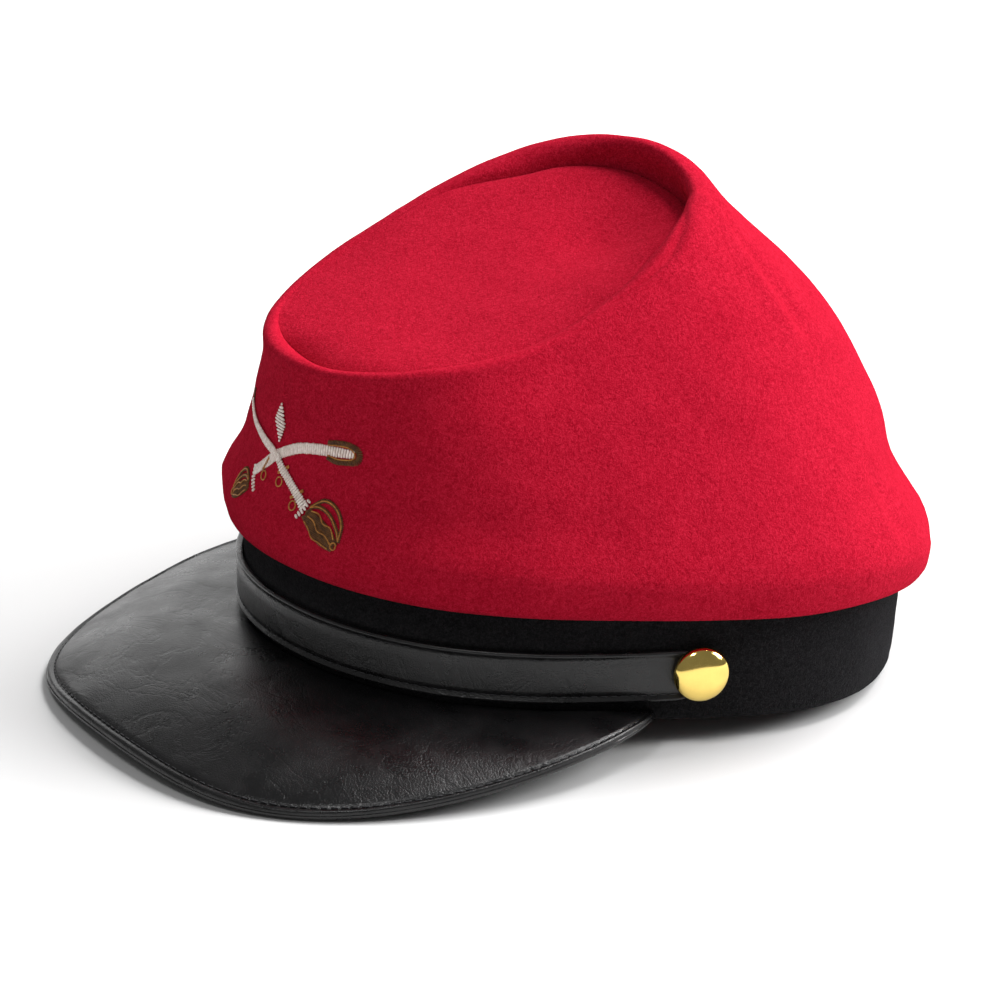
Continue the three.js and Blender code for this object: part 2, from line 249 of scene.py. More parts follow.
@dataclass(frozen=True)
class Headband:
    """The headband's outline, which every other piece is set against."""

    height: float = 29.0
    flare: float = 0.0107 / 30
    wall: float = 1.9

    def beside(self, angles: Array | float, out: Array | float, heights: Array | float) -> Array:
        """Gives points beside the headband.

        Args:
            angles: Degrees from front centre.
            out: How far out from its face each point lies.
            heights: How far above its lower edge each point lies.

        Returns:
            Points as (..., 3).
        """
        angles, out, heights = np.broadcast_arrays(angles, out, heights)
        radius = SECTIONS.at("band", angles) * (1 + self.flare * heights) + out
        return around(angles, radius, heights)

    def outward(self, angle: float) -> Array:
        """Gives the direction straight out of the headband.

        Args:
            angle: Degrees from front centre.

        Returns:
            A level unit vector.
        """
        step = self.beside(angle + 1, 0, 0) - self.beside(angle - 1, 0, 0)
        return unit(np.array([step[1], -step[0], 0.0]))


POSE = Pose()
SECTIONS = Sections()
HEADBAND = Headband()


# Mesh work


class Closing(Enum):
    """How the ends of a wrapped tube are closed."""

    LOOP = "the last row joins the first"
    POINTS = "each end row is one point already"
    CAPS = "a point is added in the middle of each end row"


class Workshop:
    """Shapes primitives in edit mode."""

    merge_within = 2e-6
    thread_sides = 6
    thread_straight = 0.7
    thread_end = 0.15
    thread_taper = 0.55
    thread_sunk = 0.1

    @staticmethod
    def clear() -> None:
        """Deselects every object."""
        for item in bpy.context.selected_objects:
            item.select_set(False)

    @staticmethod
    def pick(kind: str, parts: bpy.types.bpy_prop_collection, chosen: Array) -> None:
        """Selects some parts of the active mesh and leaves it in edit mode.

        Args:
            kind: EDGE or FACE.
            parts: The mesh's edges or faces.
            chosen: Which of them are selected.
        """
        bpy.ops.object.mode_set(mode="EDIT")
        bpy.ops.mesh.select_mode(type=kind)
        bpy.ops.mesh.select_all(action="DESELECT")
        bpy.ops.object.mode_set(mode="OBJECT")
        parts.foreach_set("select", chosen)
        bpy.ops.object.mode_set(mode="EDIT")

    @classmethod
    def tube(cls, name: str, rows: int, count: int) -> bpy.types.Object:
        """Cuts an open cylinder into rows by subdividing its upright edges.

        Args:
            name: The piece's name.
            rows: How many rows of vertices it gets.
            count: How many vertices a row has.

        Returns:
            The tube, with a radius of 1 and from -1 to 1 high.
        """
        cls.clear()
        bpy.ops.mesh.primitive_cylinder_add(
            vertices=count, radius=1.0, depth=2.0, end_fill_type="NOTHING", location=(0, 0, 0)
        )
        piece = bpy.context.object
        piece.name = piece.data.name = name
        ends = np.array([edge.vertices[:] for edge in piece.data.edges])
        heights = np.array([vertex.co.z for vertex in piece.data.vertices])
        upright = np.abs(heights[ends[:, 0]] - heights[ends[:, 1]]) > 1.0
        cls.pick("EDGE", piece.data.edges, upright)
        bpy.ops.mesh.subdivide(number_cuts=rows - 2)
        bpy.ops.object.mode_set(mode="OBJECT")
        return piece

    @classmethod
    def wrap(cls, name: str, points: Array, closing: Closing, angle: float = 60.0) -> bpy.types.Object:
        """Makes a closed piece whose rows of vertices lie on given points.

        Args:
            name: The piece's name.
            points: Millimetre positions in the cap's frame as (rows, around, 3).
            closing: How the ends of the tube close.
            angle: Edges sharper than this, in degrees, stay sharp.

        Returns:
            The finished object, at the origin, in metres.
        """
        if closing is Closing.LOOP:
            points = np.concatenate([points, points[:1]])
        if closing is Closing.CAPS:
            first, last = (np.broadcast_to(points[k].mean(axis=0), points[:1].shape) for k in (0, -1))
            points = np.concatenate([first, points, last])
        rows, count = points.shape[:2]
        piece = cls.tube(name, rows, count)
        vertices = piece.data.vertices
        places = np.empty(len(vertices) * 3)
        vertices.foreach_get("co", places)
        places = places.reshape(-1, 3)
        row = np.rint((places[:, 2] + 1.0) / 2.0 * (rows - 1)).astype(int)
        turn = np.arctan2(places[:, 1], places[:, 0]) / (2 * math.pi)
        column = np.rint(turn * count).astype(int) % count
        vertices.foreach_set("co", POSE.lay(points[row, column]).ravel())
        piece.data.update()
        cls.finish(piece, angle)
        return piece

    @classmethod
    def finish(cls, piece: bpy.types.Object, angle: float, merge: bool = True) -> None:
        """Merges doubles, points the faces outwards and smooths the shading.

        Args:
            piece: The object.
            angle: Edges sharper than this, in degrees, stay sharp.
            merge: Whether vertices in one place become one.
        """
        bpy.context.view_layer.objects.active = piece
        piece.select_set(True)
        bpy.ops.object.mode_set(mode="EDIT")
        bpy.ops.mesh.select_mode(type="VERT")
        bpy.ops.mesh.select_all(action="SELECT")
        if merge:
            bpy.ops.mesh.remove_doubles(threshold=cls.merge_within)
        bpy.ops.mesh.normals_make_consistent(inside=False)
        bpy.ops.mesh.select_all(action="DESELECT")
        bpy.ops.object.mode_set(mode="OBJECT")
        bpy.ops.object.shade_smooth_by_angle(angle=math.radians(angle))

    @classmethod
    def stitch(cls) -> bpy.types.Object:
        """Models one stitch: a round thread one unit long and one wide, drawn in at both ends.

        Returns:
            The stitch, along Z.
        """
        cls.clear()
        bpy.ops.mesh.primitive_cylinder_add(
            vertices=cls.thread_sides, radius=0.5, depth=cls.thread_straight, location=(0, 0, 0)
        )
        stitch = bpy.context.object
        ends = np.array([abs(face.normal.z) > 0.9 for face in stitch.data.polygons])
        cls.pick("FACE", stitch.data.polygons, ends)
        bpy.ops.mesh.extrude_faces_move(TRANSFORM_OT_shrink_fatten={"value": cls.thread_end})
        bpy.ops.transform.resize(value=(cls.thread_taper, cls.thread_taper, 1.0))
        bpy.ops.object.mode_set(mode="OBJECT")
        return stitch

    @classmethod
    def threads(cls, name: str, starts: Array, ends: Array, normals: Array,
                width: float, lift: float = 0.5, height: float = 0.8) -> bpy.types.Object:
        """Lays one modelled stitch from each start to each end, as one piece.

        Args:
            name: The piece's name.
            starts: Where each stitch starts, in millimetres in the cap's frame.
            ends: Where each stitch ends.
            normals: Which way is out of the cloth at each stitch.
            width: The thread's width in millimetres.
            lift: How far its middle stands out, in thread heights.
            height: The thread's height over its width.

        Returns:
            The piece.
        """
        stitch = cls.stitch()
        corner = np.array([vertex.co[:] for vertex in stitch.data.vertices])
        faces = [tuple(face.vertices) for face in stitch.data.polygons]
        bpy.data.objects.remove(stitch, do_unlink=True)
        along = ends - starts
        length = np.linalg.norm(along, axis=1)
        run = unit(along)
        side = unit(np.cross(normals, run))
        out = np.cross(run, side)
        middle = (starts + ends) / 2 + out * (width * height * (lift - cls.thread_sunk))
        placed = (
            middle[:, None]
            + run[:, None] * (corner[None, :, 2:3] * length[:, None, None])
            + side[:, None] * (corner[None, :, 0:1] * width)
            + out[:, None] * (corner[None, :, 1:2] * width * height)
        )
        copies = [
            tuple(index + k * len(corner) for index in face)
            for k in range(len(starts)) for face in faces
        ]
        made = bpy.data.meshes.new(name)
        made.from_pydata(POSE.lay(placed.reshape(-1, 3)).tolist(), [], copies)
        made.update()
        piece = bpy.data.objects.new(name, made)
        bpy.context.scene.collection.objects.link(piece)
        cls.clear()
        cls.finish(piece, angle=80.0, merge=False)
        return piece


# Finishes


class Nodes:
    """A material's node tree, built by short calls."""

    def __init__(self, name: str) -> None:
        """Starts a material with one surface shader.

        Args:
            name: The material's name.
        """
        self.material = bpy.data.materials.new(name)
        self.material.use_nodes = True
        self.tree = self.material.node_tree
        self.tree.nodes.clear()
        output = self.tree.nodes.new("ShaderNodeOutputMaterial")
        self.shader = self.tree.nodes.new("ShaderNodeBsdfPrincipled")
        self.tree.links.new(self.shader.outputs[0], output.inputs[0])
        self.place = self.tree.nodes.new("ShaderNodeTexCoord").outputs["Object"]

    def add(self, kind: str, **values: float | tuple) -> bpy.types.Node:
        """Adds a node.

        Args:
            kind: The node's type, after ShaderNode.
            values: Its sockets' values; an underscore stands for a space.

        Returns:
            The node.
        """
        node = self.tree.nodes.new(f"ShaderNode{kind}")
        for key, value in values.items():
            node.inputs[key.replace("_", " ")].default_value = value
        return node

    def set(self, **values: float | tuple) -> None:
        """Sets the shader's own sockets; an underscore stands for a space."""
        for key, value in values.items():
            self.shader.inputs[key.replace("_", " ")].default_value = value

    def feed(self, socket: str, value: Socket) -> None:
        """Links a value to one of the shader's sockets."""
        self.tree.links.new(value, self.shader.inputs[socket])

    def stretched(self, scale: Triple) -> Socket:
        """Gives object coordinates stretched along the axes.

        Args:
            scale: How much each axis is stretched.

        Returns:
            The coordinates.
        """
        node = self.add("Mapping", Scale=scale)
        self.tree.links.new(self.place, node.inputs["Vector"])
        return node.outputs["Vector"]

    def noise(self, scale: float, detail: float = 2.0, rough: float = 0.5,
              vector: Socket | None = None, distort: float = 0.0) -> Socket:
        """Adds smooth noise.

        Args:
            scale: Its lumps per metre.
            detail: How many finer layers it has.
            rough: How strong the finer layers are.
            vector: Coordinates other than the object's own.
            distort: How far the lumps are bent.

        Returns:
            The noise.
        """
        node = self.add("TexNoise", Scale=scale, Detail=detail, Roughness=rough, Distortion=distort)
        self.tree.links.new(vector or self.place, node.inputs["Vector"])
        return node.outputs["Fac"]

    def cells(self, scale: float) -> Socket:
        """Adds a pattern of cells.

        Args:
            scale: Its cells per metre.

        Returns:
            The distance to the nearest cell's edge.
        """
        node = self.add("TexVoronoi", Scale=scale)
        node.feature = "DISTANCE_TO_EDGE"
        self.tree.links.new(self.place, node.inputs["Vector"])
        return node.outputs["Distance"]

    def ramp(self, value: Socket, stops: tuple[tuple[float, Colour], ...]) -> Socket:
        """Maps a value to colours.

        Args:
            value: The value.
            stops: Values with their colours.

        Returns:
            The colour.
        """
        node = self.add("ValToRGB")
        band = node.color_ramp
        while len(band.elements) < len(stops):
            band.elements.new(0.5)
        for element, (place, colour) in zip(band.elements, stops):
            element.position = place
            element.color = (*colour, 1.0)
        self.tree.links.new(value, node.inputs["Fac"])
        return node.outputs["Color"]

    def spread(self, value: Socket, low: float, high: float, start: float, stop: float) -> Socket:
        """Maps a value from one range to another.

        Args:
            value: The value.
            low: What it becomes at the start of its range.
            high: What it becomes at the end.
            start: The start of its range.
            stop: The end of its range.

        Returns:
            The mapped value.
        """
        node = self.add("MapRange", From_Min=start, From_Max=stop, To_Min=low, To_Max=high)
        self.tree.links.new(value, node.inputs["Value"])
        return node.outputs["Result"]

    def math(self, kind: str, first: Socket, second: Socket | float = 0.0) -> Socket:
        """Joins two values.

        Args:
            kind: The operation.
            first: The first value.
            second: The second value, or a number.

        Returns:
            The result.
        """
        node = self.add("Math")
        node.operation = kind
        self.tree.links.new(first, node.inputs[0])
        if isinstance(second, float):
            node.inputs[1].default_value = second
        else:
            self.tree.links.new(second, node.inputs[1])
        return node.outputs[0]

    def mix(self, *parts: tuple[Socket, float]) -> Socket:
        """Adds values up.

        Args:
            parts: The values, each with its share.

        Returns:
            The sum.
        """
        total, *others = (self.math("MULTIPLY", value, share) for value, share in parts)
        for other in others:
            total = self.math("ADD", total, other)
        return total

    def bump(self, height: Socket, distance: float, strength: float, under: Socket | None = None) -> Socket:
        """Adds relief.

        Args:
            height: The relief's height.
            distance: Its depth in metres.
            strength: Its share.
            under: Another relief that it lies on.

        Returns:
            The bent normal.
        """
        node = self.add("Bump", Strength=strength, Distance=distance)
        self.tree.links.new(height, node.inputs["Height"])
        if under is not None:
            self.tree.links.new(under, node.inputs["Normal"])
        return node.outputs["Normal"]


@dataclass(frozen=True)
class Felt:
    """Brushed wool felt with a short nap; scales are in lumps per metre, depths in metres."""

    name: str
    deep: Colour
    mid: Colour
    light: Colour
    sheen: float
    sheen_tint: Colour
    fine_scale: float = 2600.0
    fibre_scale: float = 1050.0
    cloud_scale: float = 90.0
    shares: Triple = (0.5, 0.42, 0.08)
    stops: Triple = (0.4, 0.5, 0.6)
    fibre_depth: float = 0.00035
    fine_depth: float = 0.00021
    rough: float = 0.95
    sheen_rough: float = 0.45

    def material(self) -> bpy.types.Material:
        """Builds the material.

        Returns:
            The material.
        """
        nodes = Nodes(self.name)
        fine = nodes.noise(self.fine_scale, detail=3.0, rough=0.75)
        fibre = nodes.noise(self.fibre_scale, detail=3.0, rough=0.7, distort=0.8)
        cloud = nodes.noise(self.cloud_scale, detail=3.0, rough=0.6)
        mixed = nodes.mix(*zip((fine, fibre, cloud), self.shares))
        tones = tuple(zip(self.stops, (self.deep, self.mid, self.light)))
        nodes.feed("Base Color", nodes.ramp(mixed, tones))
        relief = nodes.bump(fibre, self.fibre_depth, 0.8)
        nodes.feed("Normal", nodes.bump(fine, self.fine_depth, 1.0, relief))
        nodes.set(Roughness=self.rough, Specular_IOR_Level=0.0, Sheen_Weight=self.sheen,
                  Sheen_Roughness=self.sheen_rough, Sheen_Tint=(*self.sheen_tint, 1.0))
        return nodes.material


@dataclass(frozen=True)
class Leather:
    """Black coated leather with a fine pebbled grain and soft creases; scales are per metre."""

    name: str
    grain: float = 1300.0
    grain_depth: float = 0.00006
    grain_edge: float = 0.16
    fine_scale: float = 2600.0
    fine_depth: float = 0.000036
    crease_scale: float = 34.0
    crease_stretch: Triple = (1.0, 1.7, 1.0)
    crease_width: float = 0.035
    crease_depth: float = 0.00055
    worn_scale: float = 70.0
    worn_range: Pair = (0.3, 0.7)
    smoothest: float = 0.22
    roughest: float = 0.42
    dark: Colour = (0.003, 0.003, 0.0033)
    light: Colour = (0.008, 0.0075, 0.008)

    def material(self) -> bpy.types.Material:
        """Builds the material.

        Returns:
            The material.
        """
        nodes = Nodes(self.name)
        pebble = nodes.cells(self.grain)
        fine = nodes.noise(self.fine_scale)
        long_way = nodes.stretched(self.crease_stretch)
        crease = nodes.noise(self.crease_scale, detail=5.0, rough=0.62, vector=long_way, distort=0.7)
        folded = nodes.math("ABSOLUTE", nodes.math("SUBTRACT", crease, 0.5))
        line = nodes.spread(folded, 0.0, 1.0, 0.0, self.crease_width)
        relief = nodes.bump(line, self.crease_depth, 0.12)
        cells = nodes.spread(pebble, 0.0, 1.0, 0.0, self.grain_edge)
        relief = nodes.bump(cells, self.grain_depth, 0.4, relief)
        nodes.feed("Normal", nodes.bump(fine, self.fine_depth, 0.5, relief))
        worn = nodes.noise(self.worn_scale, detail=4.0, rough=0.6)
        nodes.feed("Roughness", nodes.spread(worn, self.smoothest, self.roughest, *self.worn_range))
        nodes.feed("Base Color", nodes.ramp(worn, tuple(zip(self.worn_range, (self.dark, self.light)))))
        nodes.set(Specular_IOR_Level=0.4, Coat_Weight=0.1, Coat_Roughness=0.2)
        return nodes.material


@dataclass(frozen=True)
class Thread:
    """Sewing or embroidery thread with a soft lustre; scales are in lumps per metre."""

    name: str
    dark: Colour
    light: Colour
    lustre: float = 0.3
    rough: float = 0.45
    tone_scale: float = 900.0
    tone_range: Pair = (0.35, 0.65)
    strand_scale: float = 5000.0
    strand_depth: float = 0.00005

    def material(self) -> bpy.types.Material:
        """Builds the material.

        Returns:
            The material.
        """
        nodes = Nodes(self.name)
        tone = nodes.noise(self.tone_scale, detail=3.0, rough=0.7)
        nodes.feed("Base Color", nodes.ramp(tone, tuple(zip(self.tone_range, (self.dark, self.light)))))
        strand = nodes.noise(self.strand_scale, detail=1.0)
        nodes.feed("Normal", nodes.bump(strand, self.strand_depth, 0.6))
        nodes.set(Roughness=self.rough, Specular_IOR_Level=self.lustre)
        return nodes.material


@dataclass(frozen=True)
class Brass:
    """Polished gilt brass with faint scratches; scales are in lumps per metre."""

    name: str = "gilt_brass"
    colour: Colour = (0.98, 0.72, 0.2)
    dulling: float = 0.86
    smear_scale: float = 160.0
    smear_range: Pair = (0.3, 0.7)
    smoothest: float = 0.05
    roughest: float = 0.13
    scratch_scale: float = 300.0
    scratch_stretch: Triple = (1.0, 9.0, 2.0)
    scratch_depth: float = 0.00004

    def material(self) -> bpy.types.Material:
        """Builds the material.

        Returns:
            The material.
        """
        nodes = Nodes(self.name)
        smear = nodes.noise(self.smear_scale, detail=4.0, rough=0.65)
        dull = tuple(self.dulling * part for part in self.colour)
        nodes.feed("Base Color", nodes.ramp(smear, tuple(zip(self.smear_range, (dull, self.colour)))))
        nodes.feed("Roughness", nodes.spread(smear, self.smoothest, self.roughest, *self.smear_range))
        long_way = nodes.stretched(self.scratch_stretch)
        scratch = nodes.noise(self.scratch_scale, detail=5.0, rough=0.7, vector=long_way)
        nodes.feed("Normal", nodes.bump(scratch, self.scratch_depth, 0.25))
        nodes.set(Metallic=1.0)
        return nodes.material


RED_FELT = Felt(
    "red_wool_felt",
    deep=(0.26, 0.0034, 0.0125), mid=(0.37, 0.0068, 0.0225), light=(0.49, 0.0135, 0.037),
    sheen=0.12, sheen_tint=(1.0, 0.1, 0.16),
)
BLACK_FELT = Felt(
    "black_wool_felt",
    deep=(0.004, 0.004, 0.0042), mid=(0.0085, 0.0083, 0.0088), light=(0.017, 0.016, 0.017),
    sheen=0.05, sheen_tint=(0.8, 0.8, 0.85),
)
PEAK_LEATHER = Leather("peak_leather")
STRAP_LEATHER = Leather("strap_leather", grain=1500.0, crease_depth=0.0004)
BLACK_THREAD = Thread("black_thread", dark=(0.01, 0.01, 0.011), light=(0.03, 0.03, 0.033))
PALE_THREAD = Thread("pale_thread", dark=(0.68, 0.55, 0.49), light=(0.96, 0.87, 0.81), lustre=0.6)
BROWN_THREAD = Thread("brown_thread", dark=(0.05, 0.018, 0.005), light=(0.15, 0.06, 0.016), lustre=0.25)
ORANGE_THREAD = Thread("orange_thread", dark=(0.3, 0.11, 0.02), light=(0.58, 0.25, 0.05))
GILT = Brass()


def dress(piece: bpy.types.Object, finish: Felt | Leather | Thread | Brass,
          slot: str = "", *nodes: str) -> None:
    """Gives a piece its finish and its body, and hides the solids that it replaces.

    Args:
        piece: The finished piece.
        finish: Its finish.
        slot: The record's material slot, or nothing for a finish of the scene's own; it is not used.
        nodes: The solids it replaces; none for a piece laid on the others.
    """
    made = bpy.data.materials.get(finish.name) or finish.material()
    piece.data.materials.clear()
    piece.data.materials.append(made)
    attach(piece, BODY)
    if nodes:
        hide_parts(*nodes)
    LOG.info("%s: %d faces", piece.name, len(piece.data.polygons))


# The crown


@dataclass(frozen=True)
class Press:
    """A stretch of the rim that is pressed down and in."""

    angle: float
    spread: float
    drop: float
    inward: float
    thinning: float

    def at(self, angles: Array) -> Array:
        """Gives how much of the press is felt at angles."""
        return bell(wrapped(angles - self.angle), 0.0, self.spread)


@dataclass(frozen=True)
class Flush:
    """A stretch of the rim where the top swells level with it and hides the fold."""

    start: float
    full: float
    ease: float
    stop: float
    share: float

    def at(self, angles: Array) -> Array:
        """Gives how level the top is with the rim.

        Args:
            angles: Degrees from front centre, between -180 and 180.

        Returns:
            Values from 0 to 1.
        """
        up = np.clip((angles - self.start) / (self.full - self.start), 0, 1)
        down = np.clip((self.stop - angles) / (self.stop - self.ease), 0, 1)
        return self.share * smooth(np.minimum(up, down))


@dataclass(frozen=True)
class DeepRim:
    """The back of the rim, where the roll is drawn in and the fold lies deepest."""

    angle: float = 172.0
    spread: float = 42.0
    sink: float = 4.0
    narrowing: float = 0.55
    undercut: float = 0.6

    def at(self, angles: Array) -> Array:
        """Gives how much of this is felt at angles."""
        return bell(wrapped(angles - self.angle), 0.0, self.spread)


@dataclass(frozen=True)
class FrontRim:
    """The front of the rim, which is rolled wider and lower with a shallow groove behind it."""

    angle: float = 14.0
    spread: float = 42.0
    sink: float = -2.3
    inset: float = 2.2
    roll: float = 1.1
    drop: float = 0.88

    def at(self, angles: Array) -> Array:
        """Gives how much of this is felt at angles."""
        return bell(wrapped(angles), self.angle, self.spread)


@dataclass(frozen=True)
class FoldStation:
    """One place on the soft fold along the near side of the rim.

    The line is the share of the roll at which the fold lies, and the width counts rows.
    """

    angle: float
    line: float
    depth: float
    width: float


@dataclass(frozen=True)
class Crease:
    """A soft fold along a line on the crown's side: a ridge with a valley beside it."""

    start: Triple
    end: Triple
    height: float
    width: float
    valley: float
    centre_y: float = -15.0
    fade_part: float = 0.25
    end_share: float = 0.4
    beyond: float = 9.0
    valley_at: float = 1.9
    valley_width: float = 1.2

    def at(self, points: Array) -> Array:
        """Gives how far the cloth is pushed out.

        Args:
            points: Positions on the crown.

        Returns:
            One value for each position.
        """
        start, end = np.array(self.start), np.array(self.end)
        run = end - start
        reach = float(np.linalg.norm(run))
        along = (points - start) @ run / reach**2
        gap = points - start - np.clip(along, 0, 1)[..., None] * run
        out = unit(((start + end) / 2 - np.array([0.0, self.centre_y, 0.0])) * LEVEL)
        across = unit(np.cross(out, run / reach))
        offset = gap @ across
        away = np.linalg.norm(gap - offset[..., None] * across, axis=-1)
        fade = np.clip(np.minimum(along, 1 - along) / self.fade_part + self.end_share, 0, 1)
        fade = fade * bell(away, 0.0, self.beyond)
        ridge = self.height * bell(offset, 0.0, self.width)
        valley = self.valley * bell(offset, self.valley_at * self.width, self.valley_width * self.width)
        return fade * (ridge - valley)


@dataclass(frozen=True)
class FrontSeam:
    """The seam down the crown's front: a groove between two soft ridges.

    Its two ends are given as shares of the way from the hem to the disc.
    """

    across: float = -1.2
    reach: float = 40.0
    groove: float = 0.55
    groove_width: float = 0.55
    ridge: float = 0.28
    ridge_at: float = 1.9
    ridge_width: float = 1.3
    low_end: float = 0.05
    low_ease: float = 0.05
    high_end: float = 0.86
    high_ease: float = 0.06

    def at(self, points: Array, part: Array, angles: Array) -> Array:
        """Gives how far the cloth is pushed out.

        Args:
            points: Positions on the crown.
            part: How far up each one is, from the hem (0) to the disc (1).
            angles: Degrees from front centre.

        Returns:
            One value for each position.
        """
        across = points[..., 0] - self.across
        shown = np.clip((part - self.low_end) / self.low_ease, 0, 1) * (np.abs(angles) < self.reach)
        shown = shown * np.clip((self.high_end - part) / self.high_ease, 0, 1)
        ridges = sum(bell(across, side * self.ridge_at, self.ridge_width) for side in (-1, 1))
        return (self.ridge * ridges - self.groove * bell(across, 0.0, self.groove_width)) * shown


@dataclass
class Rim:
    """The rolled rim at a ring of angles."""

    centre: Array
    out: Array
    rise: Array
    roll: Array
    inset: Array
    sink: Array

    def at(self, turn: Array, narrowing: Array | float = 1.0) -> Array:
        """Gives points on the roll.

        Args:
            turn: How far round the roll, in radians up from its outermost point.
            narrowing: The roll's width over its true width.

        Returns:
            A point for each angle.
        """
        across = self.out * (self.roll * np.cos(turn) * narrowing)[:, None]
        return self.centre + across + np.outer(self.roll * np.sin(turn), self.rise)


@dataclass
class Crown:
    """The red felt crown: its side, its rolled rim and the sunken oval top.

    Lengths are in millimetres, and the side's waist, shoulder and ease are shares of its height.
    """

    around_count: int = 288
    hem_rows: int = 10
    side_rows: int = 66
    roll_rows: int = 20
    wall: float = 1.9
    gap: float = 0.4
    overlap: float = 1.7
    roll_wall: float = 0.6

    hem_lift: float = 0.2
    s_curve: float = 0.37
    side_ease: float = 0.12
    waist_at: float = 0.24
    waist_width: float = 0.13
    shoulder_at: float = 0.69
    shoulder_width: float = 0.16
    meeting_passes: int = 4
    steepest_meeting: float = 1.1

    top_centre_y: float = -33.7
    top_slope: float = 0.338
    roll_lean: float = -1.0
    least_roll: float = 2.0
    inset_lean: float = 0.5
    least_inset: float = 0.95
    sink_lean: float = 3.2
    highest_fold: float = 0.35
    roll_turn: float = 0.82
    flush_turn: float = 0.5
    flush_inset: float = 0.25
    flush_height: float = 0.95
    fold_parts: tuple[float, ...] = (0.35, 0.7, 1.0)
    fold_depth: float = 2.2

    disc_rows: int = 60
    disc_crowding: float = 1.5
    disc_gap: float = 0.15
    disc_dip: float = 2.2
    under_step: int = 3
    pillow: float = 3.0
    pillow_reach: float = 4.6
    near_pillow: float = 0.7
    dip_at: Pair = (10.0, -6.0)
    dip_depth: float = 3.0
    dip_spread: float = 17.0

    presses: tuple[Press, ...] = (
        Press(angle=84.0, spread=42.0, drop=6.3, inward=1.7, thinning=0.25),
        Press(angle=158.0, spread=20.0, drop=3.2, inward=1.2, thinning=0.15),
    )
    far_flush: Flush = Flush(start=-135.0, full=-92.0, ease=-32.0, stop=-6.0, share=1.0)
    near_flush: Flush = Flush(start=40.0, full=85.0, ease=100.0, stop=124.0, share=0.6)
    deep: DeepRim = DeepRim()
    front: FrontRim = FrontRim()
    seam: FrontSeam = FrontSeam()
    creases: tuple[Crease, ...] = (
        Crease((31.0, 12.0, 128.0), (62.0, 20.0, 92.0), height=0.9, width=3.0, valley=1.7),
        Crease((84.0, 31.0, 62.0), (93.0, 31.0, 44.0), height=0.6, width=3.2, valley=0.8),
    )
    folds: tuple[FoldStation, ...] = (
        FoldStation(angle=88.0, line=0.5, depth=0.0, width=2.0),
        FoldStation(angle=98.0, line=0.35, depth=0.5, width=2.2),
        FoldStation(angle=108.0, line=0.25, depth=0.9, width=2.4),
        FoldStation(angle=118.0, line=0.25, depth=1.2, width=2.6),
        FoldStation(angle=133.0, line=0.6, depth=0.6, width=2.0),
        FoldStation(angle=142.0, line=0.9, depth=0.0, width=2.0),
    )
    side_waves: tuple[Wave, ...] = (Wave(0.5, 26.0, 3.1), Wave(0.12, 7.0, 8.7))
    waves_from: float = 0.08
    disc_waves: tuple[Wave, ...] = (Wave(0.8, 34.0, 12.4), Wave(0.1, 8.0, 4.4))

    # The hem turned under: out from the headband, share of the hem's drop, height above that
    tuck: tuple[Triple, ...] = ((0.4, 0.0, 0.4), (1.0, 0.5, 0.5), (1.5, 1.0, 1.4), (2.6, 1.0, 0.45))

    def rim_line(self, angles: Array) -> tuple[Array, Array]:
        """Gives the rim's outermost points and the radius of its roll.

        Args:
            angles: Degrees from front centre.

        Returns:
            The points and the radii.
        """
        front = self.front.at(angles)
        radius = SECTIONS.at("rim", angles)
        height = SECTIONS.at("height", angles) - self.front.drop * front
        lean = self.roll_lean * np.sin(np.radians(angles))
        roll = np.maximum(SECTIONS.at("roll", angles) + lean, self.least_roll) + self.front.roll * front
        for press in self.presses:
            share = press.at(angles)
            radius = radius - press.inward * share
            height = height - press.drop * share
            roll = roll * (1 - press.thinning * share)
        return around(angles, radius, height, self.top_centre_y), roll

    def rim(self, angles: Array) -> Rim:
        """Gives the rim, with the place of the fold inside it.

        Args:
            angles: Degrees from front centre.

        Returns:
            The rim.
        """
        edge, roll = self.rim_line(angles)
        along = self.rim_line(angles + 2)[0] - self.rim_line(angles - 2)[0]
        out = unit(np.stack([along[:, 1], -along[:, 0], np.zeros(len(angles))], axis=-1))
        side, front = np.sin(np.radians(angles)), self.front.at(angles)
        return Rim(
            centre=edge - out * roll[:, None],
            out=out,
            rise=unit(np.array([0.0, -self.top_slope, 1.0])),
            roll=roll,
            inset=SECTIONS.at("inset", angles) + self.inset_lean * side + self.front.inset * front,
            sink=SECTIONS.at("sink", angles) + self.sink_lean * side + self.front.sink * front,
        )

    def hem(self, angles: Array) -> list[Array]:
        """Gives the rows from the seam on the headband, round the hem, to the widest part.

        Args:
            angles: Degrees from front centre.

        Returns:
            Rows of points.
        """
        drop = SECTIONS.at("drop", angles)
        rows = [
            HEADBAND.beside(angles, out, HEADBAND.height - share * drop + above)
            for out, share, above in self.tuck
        ]
        foot = HEADBAND.height - drop
        low = around(angles, SECTIONS.at("band", angles) + SECTIONS.at("hem", angles), foot + self.hem_lift)
        bulge = around(angles, SECTIONS.at("bulge", angles), foot + SECTIONS.at("rise", angles))
        for turn in np.linspace(0, math.pi / 2, self.hem_rows):
            point = low + (bulge - low) * math.sin(turn)
            point[:, 2] = low[:, 2] + (bulge - low)[:, 2] * (1 - math.cos(turn))
            rows.append(point)
        return rows

